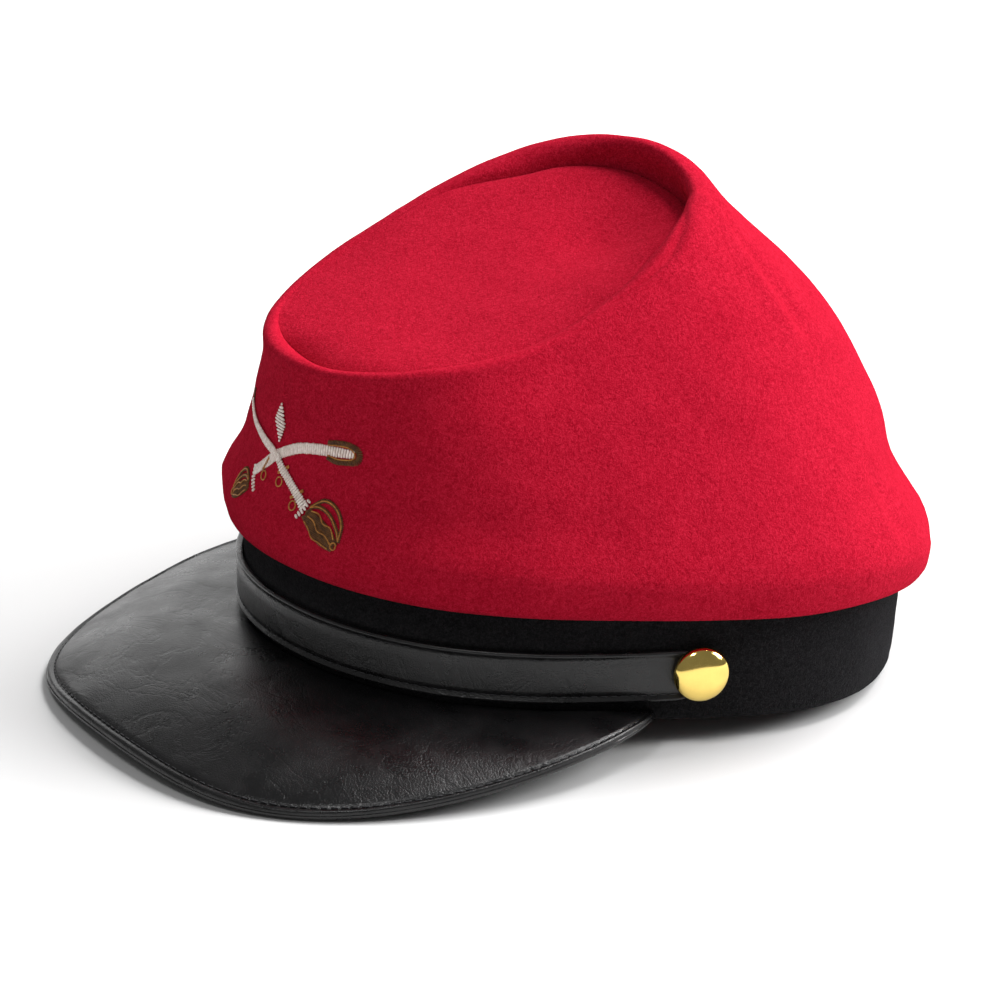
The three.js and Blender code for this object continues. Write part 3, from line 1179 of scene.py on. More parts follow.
    def meeting(self, angles: Array, rim: Rim, bulge: Array) -> tuple[Array, Array]:
        """Finds where the side meets the roll so that both run the same way.

        Args:
            angles: Degrees from front centre.
            rim: The rim there.
            bulge: The side's widest points.

        Returns:
            How far round the roll they meet, in radians, and the side's upper edge.
        """
        lean = rim.out @ rim.rise
        turn = np.zeros(len(angles))
        for _ in range(self.meeting_passes):
            edge = rim.at(turn)
            run = edge - bulge
            inward = (run * rim.out).sum(axis=1) * (1 - self.s_curve) - 4 * SECTIONS.at("belly", angles)
            steep = np.arctan(lean - rim.rise[2] * inward / run[:, 2])
            turn = np.clip(steep, 0.0, self.steepest_meeting)
        return turn, edge

    def side(self, angles: Array, rim: Rim, bulge: Array, edge: Array) -> list[Array]:
        """Gives the rows of the side above its widest part.

        Args:
            angles: Degrees from front centre.
            rim: The rim there.
            bulge: The side's widest points.
            edge: The side's upper edge.

        Returns:
            Rows of points.
        """
        rows = []
        for v in np.linspace(0, 1, self.side_rows)[1:]:
            blend = smooth(v) * self.s_curve + v * (1 - self.s_curve)
            ease = min(1, v / self.side_ease) * min(1, (1 - v) / self.side_ease)
            belly = 4 * v * (1 - v) * SECTIONS.at("belly", angles)
            waist = SECTIONS.at("waist", angles) * bell(v, self.waist_at, self.waist_width)
            shoulder = SECTIONS.at("shoulder", angles) * bell(v, self.shoulder_at, self.shoulder_width)
            point = bulge + (edge - bulge) * blend
            point[:, 2] = bulge[:, 2] + (edge - bulge)[:, 2] * v
            rows.append(point + rim.out * (belly + ease * (shoulder - waist))[:, None])
        return rows

    def face(self, angles: Array) -> Array:
        """Gives the felt's visible face, from the seam on the headband to the disc.

        Args:
            angles: Degrees from front centre.

        Returns:
            Points as (rows, around, 3), from the hem up, over the rim and down its fold.
        """
        rim = self.rim(angles)
        rows = self.hem(angles)
        bulge = rows[-1]
        start, edge = self.meeting(angles, rim, bulge)
        rows.extend(self.side(angles, rim, bulge, edge))
        flush = self.far_flush.at(angles) + self.near_flush.at(angles)
        deep = self.deep.at(angles) * (1 - flush)
        stop = math.pi * (self.roll_turn + (self.flush_turn - self.roll_turn) * flush)
        for part in np.linspace(0, 1, self.roll_rows)[1:]:
            turn = start + (stop - start) * part
            narrowing = np.where(np.cos(turn) < 0, 1 - self.deep.narrowing * deep, 1.0)
            rows.append(rim.at(turn, narrowing))
        inset = np.maximum(rim.roll + rim.inset, self.least_inset * rim.roll) * (1 - flush)
        inset = (inset + self.flush_inset * rim.roll * flush) * (1 - self.deep.undercut * deep)
        sink = np.maximum(rim.sink, -self.highest_fold * rim.roll) * (1 - flush)
        sink = sink - self.flush_height * rim.roll * flush + self.deep.sink * deep
        fold = rim.centre - rim.out * inset[:, None] - rim.rise * sink[:, None]
        last = rows[-1]
        rows.extend(last + (fold - last) * part for part in self.fold_parts)
        rows.append(fold - np.array([0, 0, self.fold_depth]))
        return np.array(rows)

    def rim_fold(self, angles: Array, rows: int) -> Array:
        """Gives the depth of the soft fold along the near side of the rim.

        Args:
            angles: Degrees from front centre.
            rows: How many rows the face has.

        Returns:
            Depths as (rows, around).
        """
        places = [station.angle for station in self.folds]
        line, depth, width = (
            np.interp(angles, places, [getattr(station, name) for station in self.folds], 0, 0)
            for name in ("line", "depth", "width")
        )
        first = rows - len(self.fold_parts) - 1 - self.roll_rows
        away = np.arange(rows)[:, None] - first - line * self.roll_rows
        return depth * bell(away / np.maximum(width, 1.0), 0.0, 1.0)

    def shaped(self) -> Array:
        """Adds the seam, the soft folds and the felt's small waves to the face.

        Returns:
            Points as (rows, around, 3).
        """
        angles = ring_angles(self.around_count)
        points = self.face(angles)
        part = np.linspace(0, 1, len(points))[:, None] * np.ones(self.around_count)
        push = self.seam.at(points, part, angles)
        for wave in self.side_waves:
            push += wave.at(points) * (part > self.waves_from)
        for crease in self.creases:
            push += crease.at(points)
        push -= self.rim_fold(angles, len(points))
        return points + grid_normals(points) * push[..., None]

    def build_side(self) -> None:
        """Builds the side with its rim as one closed piece of felt."""
        angles = ring_angles(self.around_count)
        face = self.shaped()
        normals = grid_normals(face)
        wall = np.minimum(self.wall, self.roll_wall * self.rim(angles).roll)[:, None]
        first = len(self.tuck) + self.hem_rows - 1
        inner = [face[k] - normals[k] * wall for k in range(len(face) - 1, first, -2)]
        for height in (HEADBAND.height + 2 * self.gap + self.wall, HEADBAND.height + self.gap):
            inner.append(HEADBAND.beside(angles, -self.overlap, height))
        piece = Workshop.wrap("crown_felt", np.concatenate([face, np.array(inner)]), Closing.LOOP)
        dress(piece, RED_FELT, "red_felt", "crown_side")

    def build_top(self) -> None:
        """Builds the sunken oval top, from its middle out to the fold and back underneath."""
        angles = ring_angles(self.around_count)
        fold = self.face(angles)[-2]
        centre = fold.mean(axis=0)
        edge = fold + unit(centre - fold) * self.disc_gap
        flat = np.column_stack([edge[:, :2], np.ones(len(edge))])
        plane = np.linalg.lstsq(flat, edge[:, 2], rcond=None)[0]
        stray = edge[:, 2] - flat @ plane
        pillow = 1 - self.far_flush.at(angles) - self.near_pillow * self.near_flush.at(angles)
        rows = []
        for part in 1 - (1 - np.linspace(0, 1, self.disc_rows)) ** self.disc_crowding:
            ring = centre + (edge - centre) * part
            inside = (1 - part) * np.linalg.norm(edge - centre, axis=1)
            ring[:, 2] = ring[:, 0] * plane[0] + ring[:, 1] * plane[1] + plane[2] + stray * part**4
            swell = pillow.mean() + (pillow - pillow.mean()) * part**3
            ring[:, 2] += self.pillow * swell * (1 - np.exp(-inside / self.pillow_reach))
            ring[:, 2] -= self.disc_dip * (1 - part**2)
            away = np.hypot(ring[:, 0] - self.dip_at[0], ring[:, 1] - self.dip_at[1])
            push = sum(wave.at(ring) for wave in self.disc_waves)
            ring[:, 2] += (push - self.dip_depth * bell(away, 0.0, self.dip_spread)) * (1 - part**6)
            rows.append(ring)
        upper = np.array(rows)
        under = upper[::-self.under_step].copy()
        under[:, :, 2] -= self.wall
        under[-1] = under[-1].mean(axis=0)
        piece = Workshop.wrap("crown_top_felt", np.concatenate([upper, under]), Closing.POINTS)
        dress(piece, RED_FELT, "red_felt", "crown_top")

    def build(self) -> None:
        """Builds the crown."""
        self.build_side()
        self.build_top()

    def cloth(self) -> "Cloth":
        """Gives the side's face for the badge to be sewn on."""
        return Cloth(self.shaped())


# The badge


class Cloth:
    """The front of the crown, which stitches are laid on."""

    ahead = -200.0

    def __init__(self, points: Array) -> None:
        """Keeps a grid of points as a surface that rays can meet.

        Args:
            points: Positions as (rows, around, 3), each row a closed ring.
        """
        rows, count = points.shape[:2]
        corners = np.arange(rows * count).reshape(rows, count)
        beside = np.roll(corners, -1, axis=1)
        faces = np.stack([corners[:-1], beside[:-1], beside[1:], corners[1:]], axis=-1).reshape(-1, 4)
        self.tree = BVHTree.FromPolygons(points.reshape(-1, 3).tolist(), faces.tolist())

    def meet(self, flat: Array) -> tuple[Array, Array]:
        """Drops points on to the cloth from the front.

        Args:
            flat: Millimetre positions across and up, as (n, 2).

        Returns:
            The places on the cloth and the directions out of it.
        """
        places, outs = [], []
        for x, z in flat:
            place, out, _, _ = self.tree.ray_cast(Vector((x, self.ahead, z)), Vector((0.0, 1.0, 0.0)))
            places.append(place)
            outs.append(-out if out.y > 0 else out)
        return np.array(places), unit(np.array(outs))


class Sewing:
    """Threads of one colour, gathered on the cloth."""

    curve_points = 160
    satin_pitch = 1.08
    unevenness = 0.1
    wander_step = 0.83
    ring_points = 13
    ring_stitch = 0.6

    def __init__(self, cloth: Cloth, width: float) -> None:
        """Starts with no threads.

        Args:
            cloth: What they are sewn on.
            width: The thread's width in millimetres.
        """
        self.cloth = cloth
        self.width = width
        self.starts: list[Array] = []
        self.ends: list[Array] = []

    @classmethod
    def curve(cls, knots: tuple[tuple[float, ...], ...]) -> Array:
        """Draws a smooth line through knots.

        Args:
            knots: Places, each with any further values, such as a width, to be eased along.

        Returns:
            The line's points with their further values.
        """
        points = np.array(knots, float)
        last = len(points) - 1
        place = np.linspace(0, last, cls.curve_points)
        low = np.minimum(place.astype(int), last - 1)
        beside = (points[np.clip(low + k, 0, last)] for k in (-1, 0, 1, 2))
        return through(*beside, (place - low)[:, None])

    def satin(self, knots: tuple[Triple, ...], slant: float = 0.15) -> None:
        """Lays threads side by side across a line.

        Args:
            knots: Places along the line with the width of the stitching there.
            slant: How far the threads lean along the line, over their length.
        """
        line = self.curve(knots)
        run = lengths(line[:, :2])
        at = np.linspace(0.0, run[-1], max(2, int(run[-1] / (self.satin_pitch * self.width))))
        x, z, width = along_line(at, run, line).T
        along = unit(np.stack([np.gradient(x, at), np.gradient(z, at)], axis=-1))
        across = np.stack([-along[:, 1], along[:, 0]], axis=-1) + slant * along
        middle = np.stack([x, z], axis=-1)
        wander = np.array([noise.noise(Vector((k * self.wander_step, x[0], z[0]))) for k in range(len(at))])
        reach = across * (width / 2 * (1 + self.unevenness * wander))[:, None]
        self.starts.append(middle - reach)
        self.ends.append(middle + reach)

    def chain(self, knots: tuple[Pair, ...], stitch: float = 1.1) -> None:
        """Lays threads end to end along a line.

        Args:
            knots: Places along the line.
            stitch: The length of a stitch.
        """
        line = self.curve(knots)
        run = lengths(line)
        at = np.linspace(0.0, run[-1], max(2, int(run[-1] / stitch)) + 1)
        spots = along_line(at, run, line)
        self.starts.append(spots[:-1])
        self.ends.append(spots[1:])

    def ring(self, x: float, z: float, radius: float) -> None:
        """Lays a small ring of stitches.

        Args:
            x: Its centre, across.
            z: Its centre, up.
            radius: Its radius.
        """
        turn = np.linspace(0, 2 * math.pi, self.ring_points)
        knots = tuple((x + radius * math.cos(a), z + radius * math.sin(a)) for a in turn)
        self.chain(knots, self.ring_stitch)

    def finish(self, name: str, finish: Thread, lift: float) -> None:
        """Turns the threads into one piece.

        Args:
            name: The piece's name.
            finish: The thread's finish.
            lift: How far the threads stand out, in thread heights.
        """
        starts, out_a = self.cloth.meet(np.concatenate(self.starts))
        ends, out_b = self.cloth.meet(np.concatenate(self.ends))
        piece = Workshop.threads(name, starts, ends, unit(out_a + out_b), self.width, lift)
        dress(piece, finish)


@dataclass(frozen=True)
class Hilt:
    """A sabre's hilt: a filled grip inside a double knuckle bow.

    Its places are shares of the grip's length, along it and out beside it.
    """

    guard: Pair
    pommel: Pair
    side: int
    fill_rows: tuple[float, ...] = (-0.11, 0.0, 0.11)
    fill_lean: float = 0.5
    bow_rises: tuple[float, ...] = (0.34, 0.52)
    bow_foot: float = 0.14
    bow_width: float = 1.1
    bow_slant: float = 0.4
    line_rows: tuple[float, ...] = (-0.17, 0.0, 0.17)
    line_sway: float = 0.03
    line_stitch: float = 0.8
    pommel_ring: float = 0.9

    def at(self, part: float, rise: float) -> Pair:
        """Gives a place beside the grip.

        Args:
            part: How far along, from the guard (0) to the pommel (1).
            rise: How far out towards the bow.

        Returns:
            The place across and up.
        """
        start, end = np.array(self.guard), np.array(self.pommel)
        run = end - start
        out = np.array([-run[1], run[0]]) * self.side
        return tuple(start + run * part + out * rise)

    def sew(self, brown: Sewing, orange: Sewing) -> None:
        """Sews the hilt.

        Args:
            brown: The thread that fills it.
            orange: The thread that outlines it.
        """
        for row in self.fill_rows:
            stations = ((0.02, 0.6, 1.6), (0.4, 1.0, 2.0), (0.75, 1.0, 2.0), (1.0, 0.5, 1.6))
            knots = tuple((*self.at(part, row * share), width) for part, share, width in stations)
            brown.satin(knots, slant=self.fill_lean if row else -self.fill_lean)
        for rise in self.bow_rises:
            arch = ((0.2, 0.86), (0.5, 1.0), (0.85, 0.72))
            bow = (self.at(0.02, self.bow_foot), *(self.at(part, rise * share) for part, share in arch),
                   self.at(1.02, self.bow_foot))
            brown.satin(tuple((*spot, self.bow_width) for spot in bow), slant=self.bow_slant)
            orange.chain(bow)
        for row in self.line_rows:
            high, low = row + self.line_sway, row - self.line_sway
            line = ((0.1, row * 0.7), (0.3, high), (0.5, low), (0.7, high), (0.92, row * 0.6))
            orange.chain(tuple(self.at(*place) for place in line), self.line_stitch)
        orange.ring(*self.at(1.0, 0.02), self.pommel_ring)


@dataclass
class Badge:
    """Two crossed sabres in their scabbards with a lozenge above, embroidered on the front.

    Stations are across, up and the stitching's width; a blade's are shares of its full width.
    """

    blade_width: float = 2.9
    blade_thread: float = 0.74
    brown_thread: float = 0.44
    orange_thread: float = 0.38
    lozenge: Pair = (-2.6, 66.4)
    lozenge_height: float = 10.0
    lozenge_width: float = 5.4
    lozenge_tip: float = 0.4
    ring_radius: float = 1.25
    hanger_width: float = 0.9

    under_blade: tuple[Triple, ...] = (
        (-13.6, 50.0, 0.85), (-8.2, 53.8, 1.0), (-3.0, 57.4, 1.0), (5.2, 61.3, 1.0),
        (11.7, 63.0, 1.0), (17.7, 63.9, 1.0), (25.1, 64.6, 0.75),
    )
    under_guard: tuple[Triple, ...] = ((-10.6, 45.8, 1.2), (-12.9, 48.4, 1.5), (-13.9, 51.4, 1.2))
    over_blade: tuple[Triple, ...] = (
        (-26.0, 65.8, 0.5), (-21.2, 62.4, 0.6), (-12.9, 59.9, 0.75), (-3.0, 57.4, 0.85),
        (1.3, 54.6, 0.85), (8.6, 50.5, 0.85), (12.9, 47.9, 1.0),
    )
    over_guard: tuple[Triple, ...] = ((11.6, 44.9, 1.3), (13.2, 47.2, 1.8), (14.3, 49.6, 1.3))
    hilts: tuple[Hilt, ...] = (
        Hilt(guard=(14.2, 46.6), pommel=(26.6, 40.8), side=1),
        Hilt(guard=(-14.2, 46.0), pommel=(-22.6, 41.6), side=-1),
    )
    chape: tuple[Triple, ...] = (
        (17.2, 66.1, 1.1), (20.2, 66.6, 1.4), (23.6, 66.8, 1.5), (26.6, 65.6, 1.7),
        (26.6, 63.0, 1.7), (23.6, 62.1, 1.5), (20.2, 61.6, 1.4), (17.4, 62.0, 1.1),
    )
    chape_line: tuple[Pair, ...] = (
        (17.2, 65.4), (20.2, 65.9), (23.6, 66.1), (25.6, 65.0),
        (25.6, 63.6), (23.6, 62.8), (20.2, 62.4), (17.4, 62.8),
    )
    far_chape: tuple[Triple, ...] = ((-26.6, 64.6, 1.5), (-26.8, 67.0, 1.6), (-26.2, 68.6, 1.2))
    chape_slant: float = 0.3
    rings: tuple[Pair, ...] = ((-7.4, 50.6), (0.8, 51.2), (8.7, 47.0))
    hangers: tuple[tuple[Pair, ...], ...] = (
        ((-8.6, 51.9), (-6.6, 55.6)), ((-0.4, 53.4), (3.3, 55.9)), ((7.2, 48.7), (11.0, 51.5)),
    )

    def blade(self, stations: tuple[Triple, ...]) -> tuple[Triple, ...]:
        """Turns shares of the blade's width into widths."""
        return tuple((x, z, self.blade_width * share) for x, z, share in stations)

    def build(self, cloth: Cloth) -> None:
        """Sews the badge.

        Args:
            cloth: The front of the crown.
        """
        under, over = Sewing(cloth, self.blade_thread), Sewing(cloth, self.blade_thread)
        brown, orange = Sewing(cloth, self.brown_thread), Sewing(cloth, self.orange_thread)
        for thread, blade, guard in (
            (under, self.under_blade, self.under_guard), (over, self.over_blade, self.over_guard),
        ):
            thread.satin(self.blade(blade))
            thread.satin(guard, slant=0.0)
        x, z = self.lozenge
        rows = ((-0.5, self.lozenge_tip), (-0.25, self.lozenge_width / 2), (0.0, self.lozenge_width),
                (0.25, self.lozenge_width / 2), (0.5, self.lozenge_tip))
        over.satin(tuple((x, z + part * self.lozenge_height, width) for part, width in rows), slant=0.05)
        for hilt in self.hilts:
            hilt.sew(brown, orange)
        brown.satin(self.chape, slant=self.chape_slant)
        orange.chain(self.chape_line)
        brown.satin(self.far_chape, slant=self.chape_slant)
        for spot in self.rings:
            orange.ring(*spot, self.ring_radius)
        for line in self.hangers:
            orange.satin(tuple((*spot, self.hanger_width) for spot in line), slant=0.0)
        under.finish("badge_under_blade", PALE_THREAD, lift=0.35)
        over.finish("badge_over_blade", PALE_THREAD, lift=1.0)
        brown.finish("badge_brown", BROWN_THREAD, lift=0.7)
        orange.finish("badge_orange", ORANGE_THREAD, lift=1.35)


# The headband


@dataclass
class BandCloth:
    """The black felt headband; its outline's places are out from its face and up from its edge."""

    around_count: int = 256
    rows: int = 22
    inner_rows: int = 6
    foot: tuple[Pair, ...] = ((-0.6, 0.0), (-0.15, 0.15), (0.0, 0.6))
    edge_round: float = 0.3
    edge_drop: float = 0.5
    waves: tuple[Wave, ...] = (Wave(0.28, 16.0, 5.5), Wave(0.1, 5.0, 1.5))
    foot_wave: float = 0.3

    def outline(self) -> list[Pair]:
        """Gives the headband's section, up its face and down its inside.

        Returns:
            Places round the section.
        """
        height, wall = HEADBAND.height, HEADBAND.wall
        top = height - self.edge_drop
        outline = list(self.foot)
        outline += [(0.0, up) for up in np.linspace(self.foot[-1][1], top, self.rows)[1:]]
        outline += [(-self.edge_round, height), (self.edge_round - wall, height), (-wall, top)]
        outline += [(-wall, up) for up in np.linspace(top, self.edge_drop, self.inner_rows)[1:]]
        outline.append((self.edge_round - wall, 0.0))
        return outline

    def build(self) -> None:
        """Builds the headband as one closed piece with softly rounded edges."""
        angles = ring_angles(self.around_count)
        rows = np.array([HEADBAND.beside(angles, out, up) for out, up in self.outline()])
        push = sum(wave.at(rows) for wave in self.waves)
        push[0] *= self.foot_wave
        rows += around(angles, 1.0, 0.0) * push[..., None]
        piece = Workshop.wrap("band_felt", rows, Closing.LOOP)
        dress(piece, BLACK_FELT, "black_felt", "band")


# The leather


@dataclass(frozen=True)
class TurnedEdge:
    """The relief beside a leather's turned edge: a channel for the stitches and a bead."""

    channel: float
    channel_at: float
    bead: float
    bead_at: float
    bead_width: float
    channel_width: float = 0.5

    def at(self, distance: Array | float) -> Array | float:
        """Gives the relief's height at a distance in from the edge."""
        channel = self.channel * bell(distance, self.channel_at, self.channel_width)
        return self.bead * bell(distance, self.bead_at, self.bead_width) - channel


@dataclass(frozen=True)
class StitchRow:
    """A row of stitches: its inset and pitch, the share of the pitch that shows thread, the
    thread's width, and how deep the row lies under the leather's face.
    """

    inset: float
    share: float
    width: float
    depth: float
    pitch: float = 2.6

    def sew(self, name: str, line: Array, up: Array) -> None:
        """Sews the row.

        Args:
            name: The row's name.
            line: Close points along it on the leather's face.
            up: Normals at those points.
        """
        line = line - up * self.depth
        run = lengths(line)
        count = int(run[-1] / self.pitch)
        begin = (np.arange(count) + (1 - self.share) / 2) * run[-1] / count
        finish = begin + self.share * run[-1] / count
        starts, ends = along_line(begin, run, line), along_line(finish, run, line)
        ups = unit(along_line((begin + finish) / 2, run, up))
        piece = Workshop.threads(name, starts, ends, ups, self.width)
        dress(piece, BLACK_THREAD, "black_leather")


@dataclass
class Peak:
    """The leather peak, with a turned edge and a row of stitches beside it.

    Its surface runs along s, from the wearer's right end (-1) to the left (1), and along w,
    from the headband (0) to the front edge (1).
    """

    thickness: float = 2.4
    half_angle: float = 66.6
    root_height: float = 1.6
    gap: float = 0.4
    end_width: float = 1.4
    end_pull: int = 8
    camber: float = 3.2
    full_camber_width: float = 54.0
    step: float = 1e-3

    # The front edge: shares of sines of 1, 3 and 5 quarter turns, then of even powers of s
    edge_across: tuple[float, ...] = (94.9, -3.18, 1.65)
    edge_along: tuple[float, ...] = (-152.7, 47.5, 121.6)
    edge_up: tuple[float, ...] = (-11.2, -24.1, 63.7, 4.0)

    along: int = 200
    across: int = 44
    crowding: float = 0.6
    crowded_reach: float = 0.999
    edge_crowding: float = 1.6
    under_step: int = 3
    full_relief_width: float = 12.0
    round_width: float = 0.8
    round_share: float = 0.6
    tip_turn: float = 60.0
    tip_rows: int = 5
    tip_height: float = 0.55
    tip_reach: float = 0.45
    tip_step: float = 0.02
    waves: tuple[Wave, ...] = (Wave(0.22, 13.0, 21.0), Wave(0.3, 34.0, 9.0))
    root_wave: float = 0.1
    wave_growth: float = 6.0
    relief: TurnedEdge = TurnedEdge(channel=0.5, channel_at=2.6, bead=0.35, bead_at=1.1, bead_width=0.8)
    stitches: StitchRow = StitchRow(inset=2.6, share=0.68, width=0.45, depth=0.36)
    stitches_end: float = 0.955
    stitch_samples: int = 1500

    def free_edge(self, s: Array) -> Array:
        """Gives the front edge before its ends are drawn to the headband.

        Args:
            s: How far along it.

        Returns:
            Points on the edge.
        """
        quarter = s * math.pi / 2
        x = sum(share * np.sin((2 * k + 1) * quarter) for k, share in enumerate(self.edge_across))
        y, z = (
            sum(share * s ** (2 * k) for k, share in enumerate(shares))
            for shares in (self.edge_along, self.edge_up)
        )
        return np.stack([x, y, z], axis=-1)

    def edge(self, s: Array) -> Array:
        """Gives the peak's front edge.

        Args:
            s: How far along it.

        Returns:
            Points on the edge.
        """
        end = HEADBAND.beside(self.half_angle, self.end_width + self.gap, self.root_height)
        missing = end - self.free_edge(np.array(1.0))
        side = np.stack([np.sign(s), np.ones_like(s), np.ones_like(s)], axis=-1)
        return self.free_edge(s) + side * missing * (np.abs(s) ** self.end_pull)[..., None]

    def middle(self, s: Array, w: Array | float) -> Array:
        """Gives the surface half way through the leather.

        Args:
            s: How far along.
            w: How far out.

        Returns:
            Points on the surface.
        """
        w = np.broadcast_to(w, s.shape)
        root = HEADBAND.beside(s * self.half_angle, self.gap, self.root_height)
        edge = self.edge(s)
        width = np.linalg.norm(edge - root, axis=-1)
        camber = self.camber * np.minimum(1, width / self.full_camber_width)
        point = root + (edge - root) * w[..., None]
        point[..., 2] += camber * 4 * w * (1 - w)
        return point

    def surface(self, s: Array, w: Array | float) -> tuple[Array, Array]:
        """Gives the surface with its normals.

        Args:
            s: How far along.
            w: How far out.

        Returns:
            Points half way through the leather and upward normals.
        """
        low, high = np.clip(s - self.step, -1, 1), np.clip(s + self.step, -1, 1)
        run = self.middle(high, w) - self.middle(low, w)
        out = self.middle(s, w + self.step) - self.middle(s, w - self.step)
        return self.middle(s, w), unit(np.cross(out, run))

    def rounding(self, distance: Array) -> Array:
        """Gives how much thinner one face is at a distance in from the front edge."""
        return self.round_share * self.thickness / 2 * np.clip(1 - distance / self.round_width, 0, 1) ** 2

    def build(self) -> None:
        """Builds the leather and its stitches."""
        even = np.linspace(-1, 1, self.along)
        crowded = np.sin(even * math.pi / 2 * self.crowded_reach)
        s = self.crowding * crowded + (1 - self.crowding) * even
        s[0], s[-1] = -1, 1
        width = np.linalg.norm(self.middle(s, 1.0) - self.middle(s, 0.0), axis=-1)
        inside = np.minimum(1, width / self.full_relief_width)
        half = self.thickness / 2
        spots = 1 - (1 - np.linspace(0, 1, self.across)) ** self.edge_crowding
        rows = []
        for w in spots:
            point, up = self.surface(s, w)
            distance = (1 - w) * width
            height = half + self.relief.at(distance) * inside - self.rounding(distance)
            push = sum(wave.at(point) for wave in self.waves) * inside
            push = push * min(1, self.wave_growth * w + self.root_wave)
            rows.append(point + up * (height + push)[:, None])
        tip, up = self.surface(s, 1.0)
        outward = unit(self.middle(s, 1.0) - self.middle(s, 1.0 - self.tip_step))
        for turn in np.radians(np.linspace(self.tip_turn, -self.tip_turn, self.tip_rows)):
            rise = up * (half * self.tip_height * math.sin(turn))
            rows.append(tip + rise + outward * (self.tip_reach * math.cos(turn)))
        for w in spots[::-self.under_step]:
            point, up = self.surface(s, w)
            rows.append(point - up * (half - self.rounding((1 - w) * width))[:, None])
        rings = np.array(rows).transpose(1, 0, 2)
        piece = Workshop.wrap("peak_leather", rings, Closing.CAPS, angle=50.0)
        dress(piece, PEAK_LEATHER, "black_leather", "visor")
        self.build_stitches()

    def build_stitches(self) -> None:
        """Sews the row of stitches along the turned edge."""
        s = np.linspace(-self.stitches_end, self.stitches_end, self.stitch_samples)
        width = np.linalg.norm(self.middle(s, 1.0) - self.middle(s, 0.0), axis=-1)
        line, up = self.surface(s, 1 - self.stitches.inset / width)
        self.stitches.sew("peak_stitches", line + up * (self.thickness / 2), up)


@dataclass
class ChinStrap:
    """The leather strap across the front of the headband, stitched along both edges."""

    width: float = 14.0
    thickness: float = 1.6
    gap: float = 0.4
    middle_height: float = 11.7
    end_rise: float = 1.8
    end_angle: float = 74.6
    end_radius: float = 90.0
    end_width: float = 0.12

    along: int = 230
    across: int = 34
    crowding: float = 0.55
    round_width: float = 0.35
    round_depth: float = 0.5
    wave: Wave = Wave(0.12, 14.0, 31.0)
    relief: TurnedEdge = TurnedEdge(channel=0.45, channel_at=1.9, bead=0.24, bead_at=0.8, bead_width=0.45)
    stitches: StitchRow = StitchRow(inset=1.9, share=0.66, width=0.36, depth=0.42)
    stitches_short: float = 4.2
    stitch_samples: int = 1200

    # The back: height above the gap, and share of the half width
    back: tuple[Pair, ...] = ((0.4, 1.0), (0.0, 0.96), (0.0, -0.96), (0.4, -1.0))

    def centre_height(self, angles: Array) -> Array:
        """Gives the height of the strap's middle."""
        return self.middle_height + self.end_rise * (angles / self.end_angle) ** 4

    def build(self) -> None:
        """Builds the leather and its stitches."""
        even = np.linspace(-1, 1, self.along)
        crowded = np.sin(even * math.pi / 2)
        angles = self.end_angle * (self.crowding * crowded + (1 - self.crowding) * even)
        half = self.width / 2
        to_end = np.radians(self.end_angle - np.abs(angles)) * self.end_radius
        inside = np.minimum(to_end / half, 1)
        half_width = half * np.maximum(np.sqrt(1 - (1 - inside) ** 2), self.end_width)
        middle = self.centre_height(angles)
        rows = []
        for spot in np.sin(np.linspace(-1, 1, self.across) * math.pi / 2):
            edge = (1 - abs(spot)) * half
            out = self.gap + self.thickness + self.relief.at(edge)
            out -= self.round_depth * max(0.0, 1 - edge / self.round_width) ** 2
            sag = self.wave.at(HEADBAND.beside(angles, 0, middle + spot * half))
            rows.append(HEADBAND.beside(angles, out + sag, middle + spot * half_width))
        for above, share in self.back:
            rows.append(HEADBAND.beside(angles, self.gap + above, middle + share * half_width))
        rings = np.array(rows).transpose(1, 0, 2)
        piece = Workshop.wrap("strap_leather", rings, Closing.CAPS, angle=50.0)
        dress(piece, STRAP_LEATHER, "black_leather", "chin_strap")
        self.build_stitches("strap_stitches_upper", 1)
        self.build_stitches("strap_stitches_lower", -1)

    def build_stitches(self, name: str, side: int) -> None:
        """Sews one row of stitches.

        Args:
            name: The row's name.
            side: 1 for the upper edge, -1 for the lower.
        """
        reach = self.end_angle - self.stitches_short
        angles = np.linspace(-reach, reach, self.stitch_samples)
        height = self.centre_height(angles) + side * (self.width / 2 - self.stitches.inset)
        line = HEADBAND.beside(angles, self.gap + self.thickness, height)
        self.stitches.sew(name, line, unit(line * LEVEL))


# The buttons


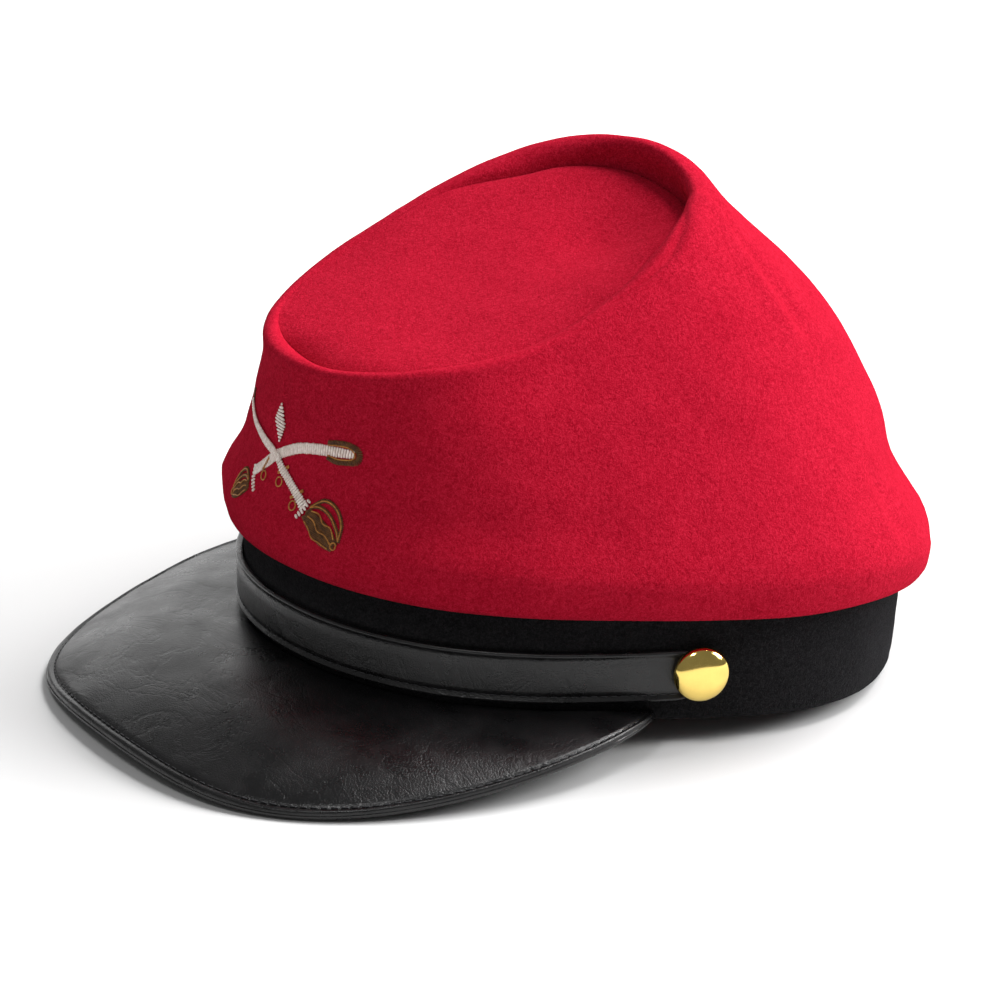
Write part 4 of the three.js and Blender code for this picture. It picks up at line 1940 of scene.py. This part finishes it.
@dataclass
class SideButton:
    """A domed metal button with a rolled edge, over one end of the chin strap."""

    name: str
    node: str
    side: int
    radius: float = 7.5
    height: float = 4.2
    edge_height: float = 0.85
    dome_rows: int = 20
    dome_power: float = 0.9
    sides: int = 64
    angle: float = 73.8
    middle_height: float = 14.2
    stand_off: float = 2.7

    # The rolled edge: in from the button's radius, and height
    foot: tuple[Pair, ...] = ((1.1, 0.0), (0.4, 0.2), (0.1, 0.5))

    def outline(self) -> list[Pair]:
        """Gives half of the button's section, from the middle of its back to its top.

        Returns:
            Radii with their heights.
        """
        rise = self.height - self.edge_height
        outline = [(0.0, 0.0)] + [(self.radius - inward, up) for inward, up in self.foot]
        for turn in np.linspace(0, math.pi / 2, self.dome_rows)[:-1]:
            across = self.radius * math.cos(turn) ** self.dome_power
            outline.append((across, self.edge_height + rise * math.sin(turn)))
        return outline + [(0.0, self.height)]

    def build(self) -> None:
        """Spins the button's outline and sets it on the strap."""
        angle = self.side * self.angle
        out = HEADBAND.outward(angle)
        up = np.array([0.0, 0.0, 1.0])
        across = np.cross(up, out)
        origin = HEADBAND.beside(angle, 0, self.middle_height) + out * self.stand_off
        turn = np.arange(self.sides) * 2 * math.pi / self.sides
        ring = np.outer(np.cos(turn), across) + np.outer(np.sin(turn), up)
        rows = np.array([origin + radius * ring + height * out for radius, height in self.outline()])
        piece = Workshop.wrap(self.name, rows, Closing.POINTS, angle=70.0)
        dress(piece, GILT, "brass", self.node)


# The studio


@dataclass(frozen=True)
class SoftBox:
    """A square soft light that faces the cap; its place and size are in metres."""

    name: str
    place: Triple
    size: float
    power: float
    aim: Triple = (0.0, 0.0, 0.05)

    def hang(self) -> None:
        """Adds the light to the scene."""
        data = bpy.data.lights.new(self.name, "AREA")
        data.size = self.size
        data.energy = self.power
        lamp = bpy.data.objects.new(self.name, data)
        bpy.context.scene.collection.objects.link(lamp)
        lamp.location = self.place
        aim = Vector(self.aim) - Vector(self.place)
        lamp.rotation_euler = aim.to_track_quat("-Z", "Y").to_euler()


@dataclass
class Studio:
    """The pale floor, the soft lights and the camera; places are in metres."""

    floor_size: float = 8.0
    floor_tones: Pair = (0.63, 0.65)
    floor_rough: float = 0.9
    sky: float = 0.2
    boxes: tuple[SoftBox, ...] = (
        SoftBox("top_box", (0.0, 1.8, 2.4), 2.0, 155.0),
        SoftBox("key_box", (1.3, 1.8, 1.3), 1.1, 66.0),
        SoftBox("edge_box", (0.53, -0.72, 1.56), 0.35, 6.0),
        SoftBox("low_box", (-1.6, 0.75, 0.35), 1.3, 6.0),
    )
    camera_place: Triple = (0.6349, -0.4414, 0.3257)
    camera_turn: float = 55.246
    camera_rise: float = 20.069
    sensor: float = 36.0
    lens: float = 106.13

    def lay_floor(self) -> None:
        """Lays the floor."""
        Workshop.clear()
        bpy.ops.mesh.primitive_grid_add(x_subdivisions=2, y_subdivisions=2, size=self.floor_size)
        floor = bpy.context.object
        floor.name = "floor"
        nodes = Nodes("pale_floor")
        nodes.set(Roughness=self.floor_rough, Specular_IOR_Level=0.0)
        tone = nodes.noise(2.0, detail=1.0)
        stops = tuple((float(k), (shade,) * 3) for k, shade in enumerate(self.floor_tones))
        nodes.feed("Base Color", nodes.ramp(tone, stops))
        floor.data.materials.append(nodes.material)

    def light(self) -> None:
        """Sets the sky and hangs the lights."""
        scene = bpy.context.scene
        scene.view_settings.view_transform = "Standard"
        scene.world = scene.world or bpy.data.worlds.new("studio")
        scene.world.use_nodes = True
        sky = scene.world.node_tree.nodes.get("Background")
        sky.inputs["Color"].default_value = (1.0, 1.0, 1.0, 1.0)
        sky.inputs["Strength"].default_value = self.sky
        for box in self.boxes:
            box.hang()

    def place_camera(self) -> None:
        """Places the camera at the photograph's viewing angle."""
        turn, rise = math.radians(self.camera_turn), math.radians(self.camera_rise)
        right = Vector((math.cos(turn), math.sin(turn), 0.0))
        level = math.cos(rise)
        back = Vector((math.sin(turn) * level, -math.cos(turn) * level, math.sin(rise)))
        data = bpy.data.cameras.new("camera")
        data.sensor_width = self.sensor
        data.lens = self.lens
        camera = bpy.data.objects.new("camera", data)
        bpy.context.scene.collection.objects.link(camera)
        axes = Matrix((right, back.cross(right), back)).transposed().to_4x4()
        camera.matrix_world = Matrix.Translation(Vector(self.camera_place)) @ axes
        bpy.context.scene.camera = camera

    def build(self) -> None:
        """Sets up the studio."""
        self.lay_floor()
        self.light()
        self.place_camera()


def main() -> None:
    """Builds the studio and the cap."""
    logging.basicConfig(level=logging.INFO, format="%(name)s %(message)s")
    Studio().build()
    crown = Crown()
    crown.build()
    Badge().build(crown.cloth())
    BandCloth().build()
    Peak().build()
    ChinStrap().build()
    SideButton("left_button", "button_left", 1).build()
    SideButton("right_button", "button_right", -1).build()


if __name__ == "__main__":
    main()
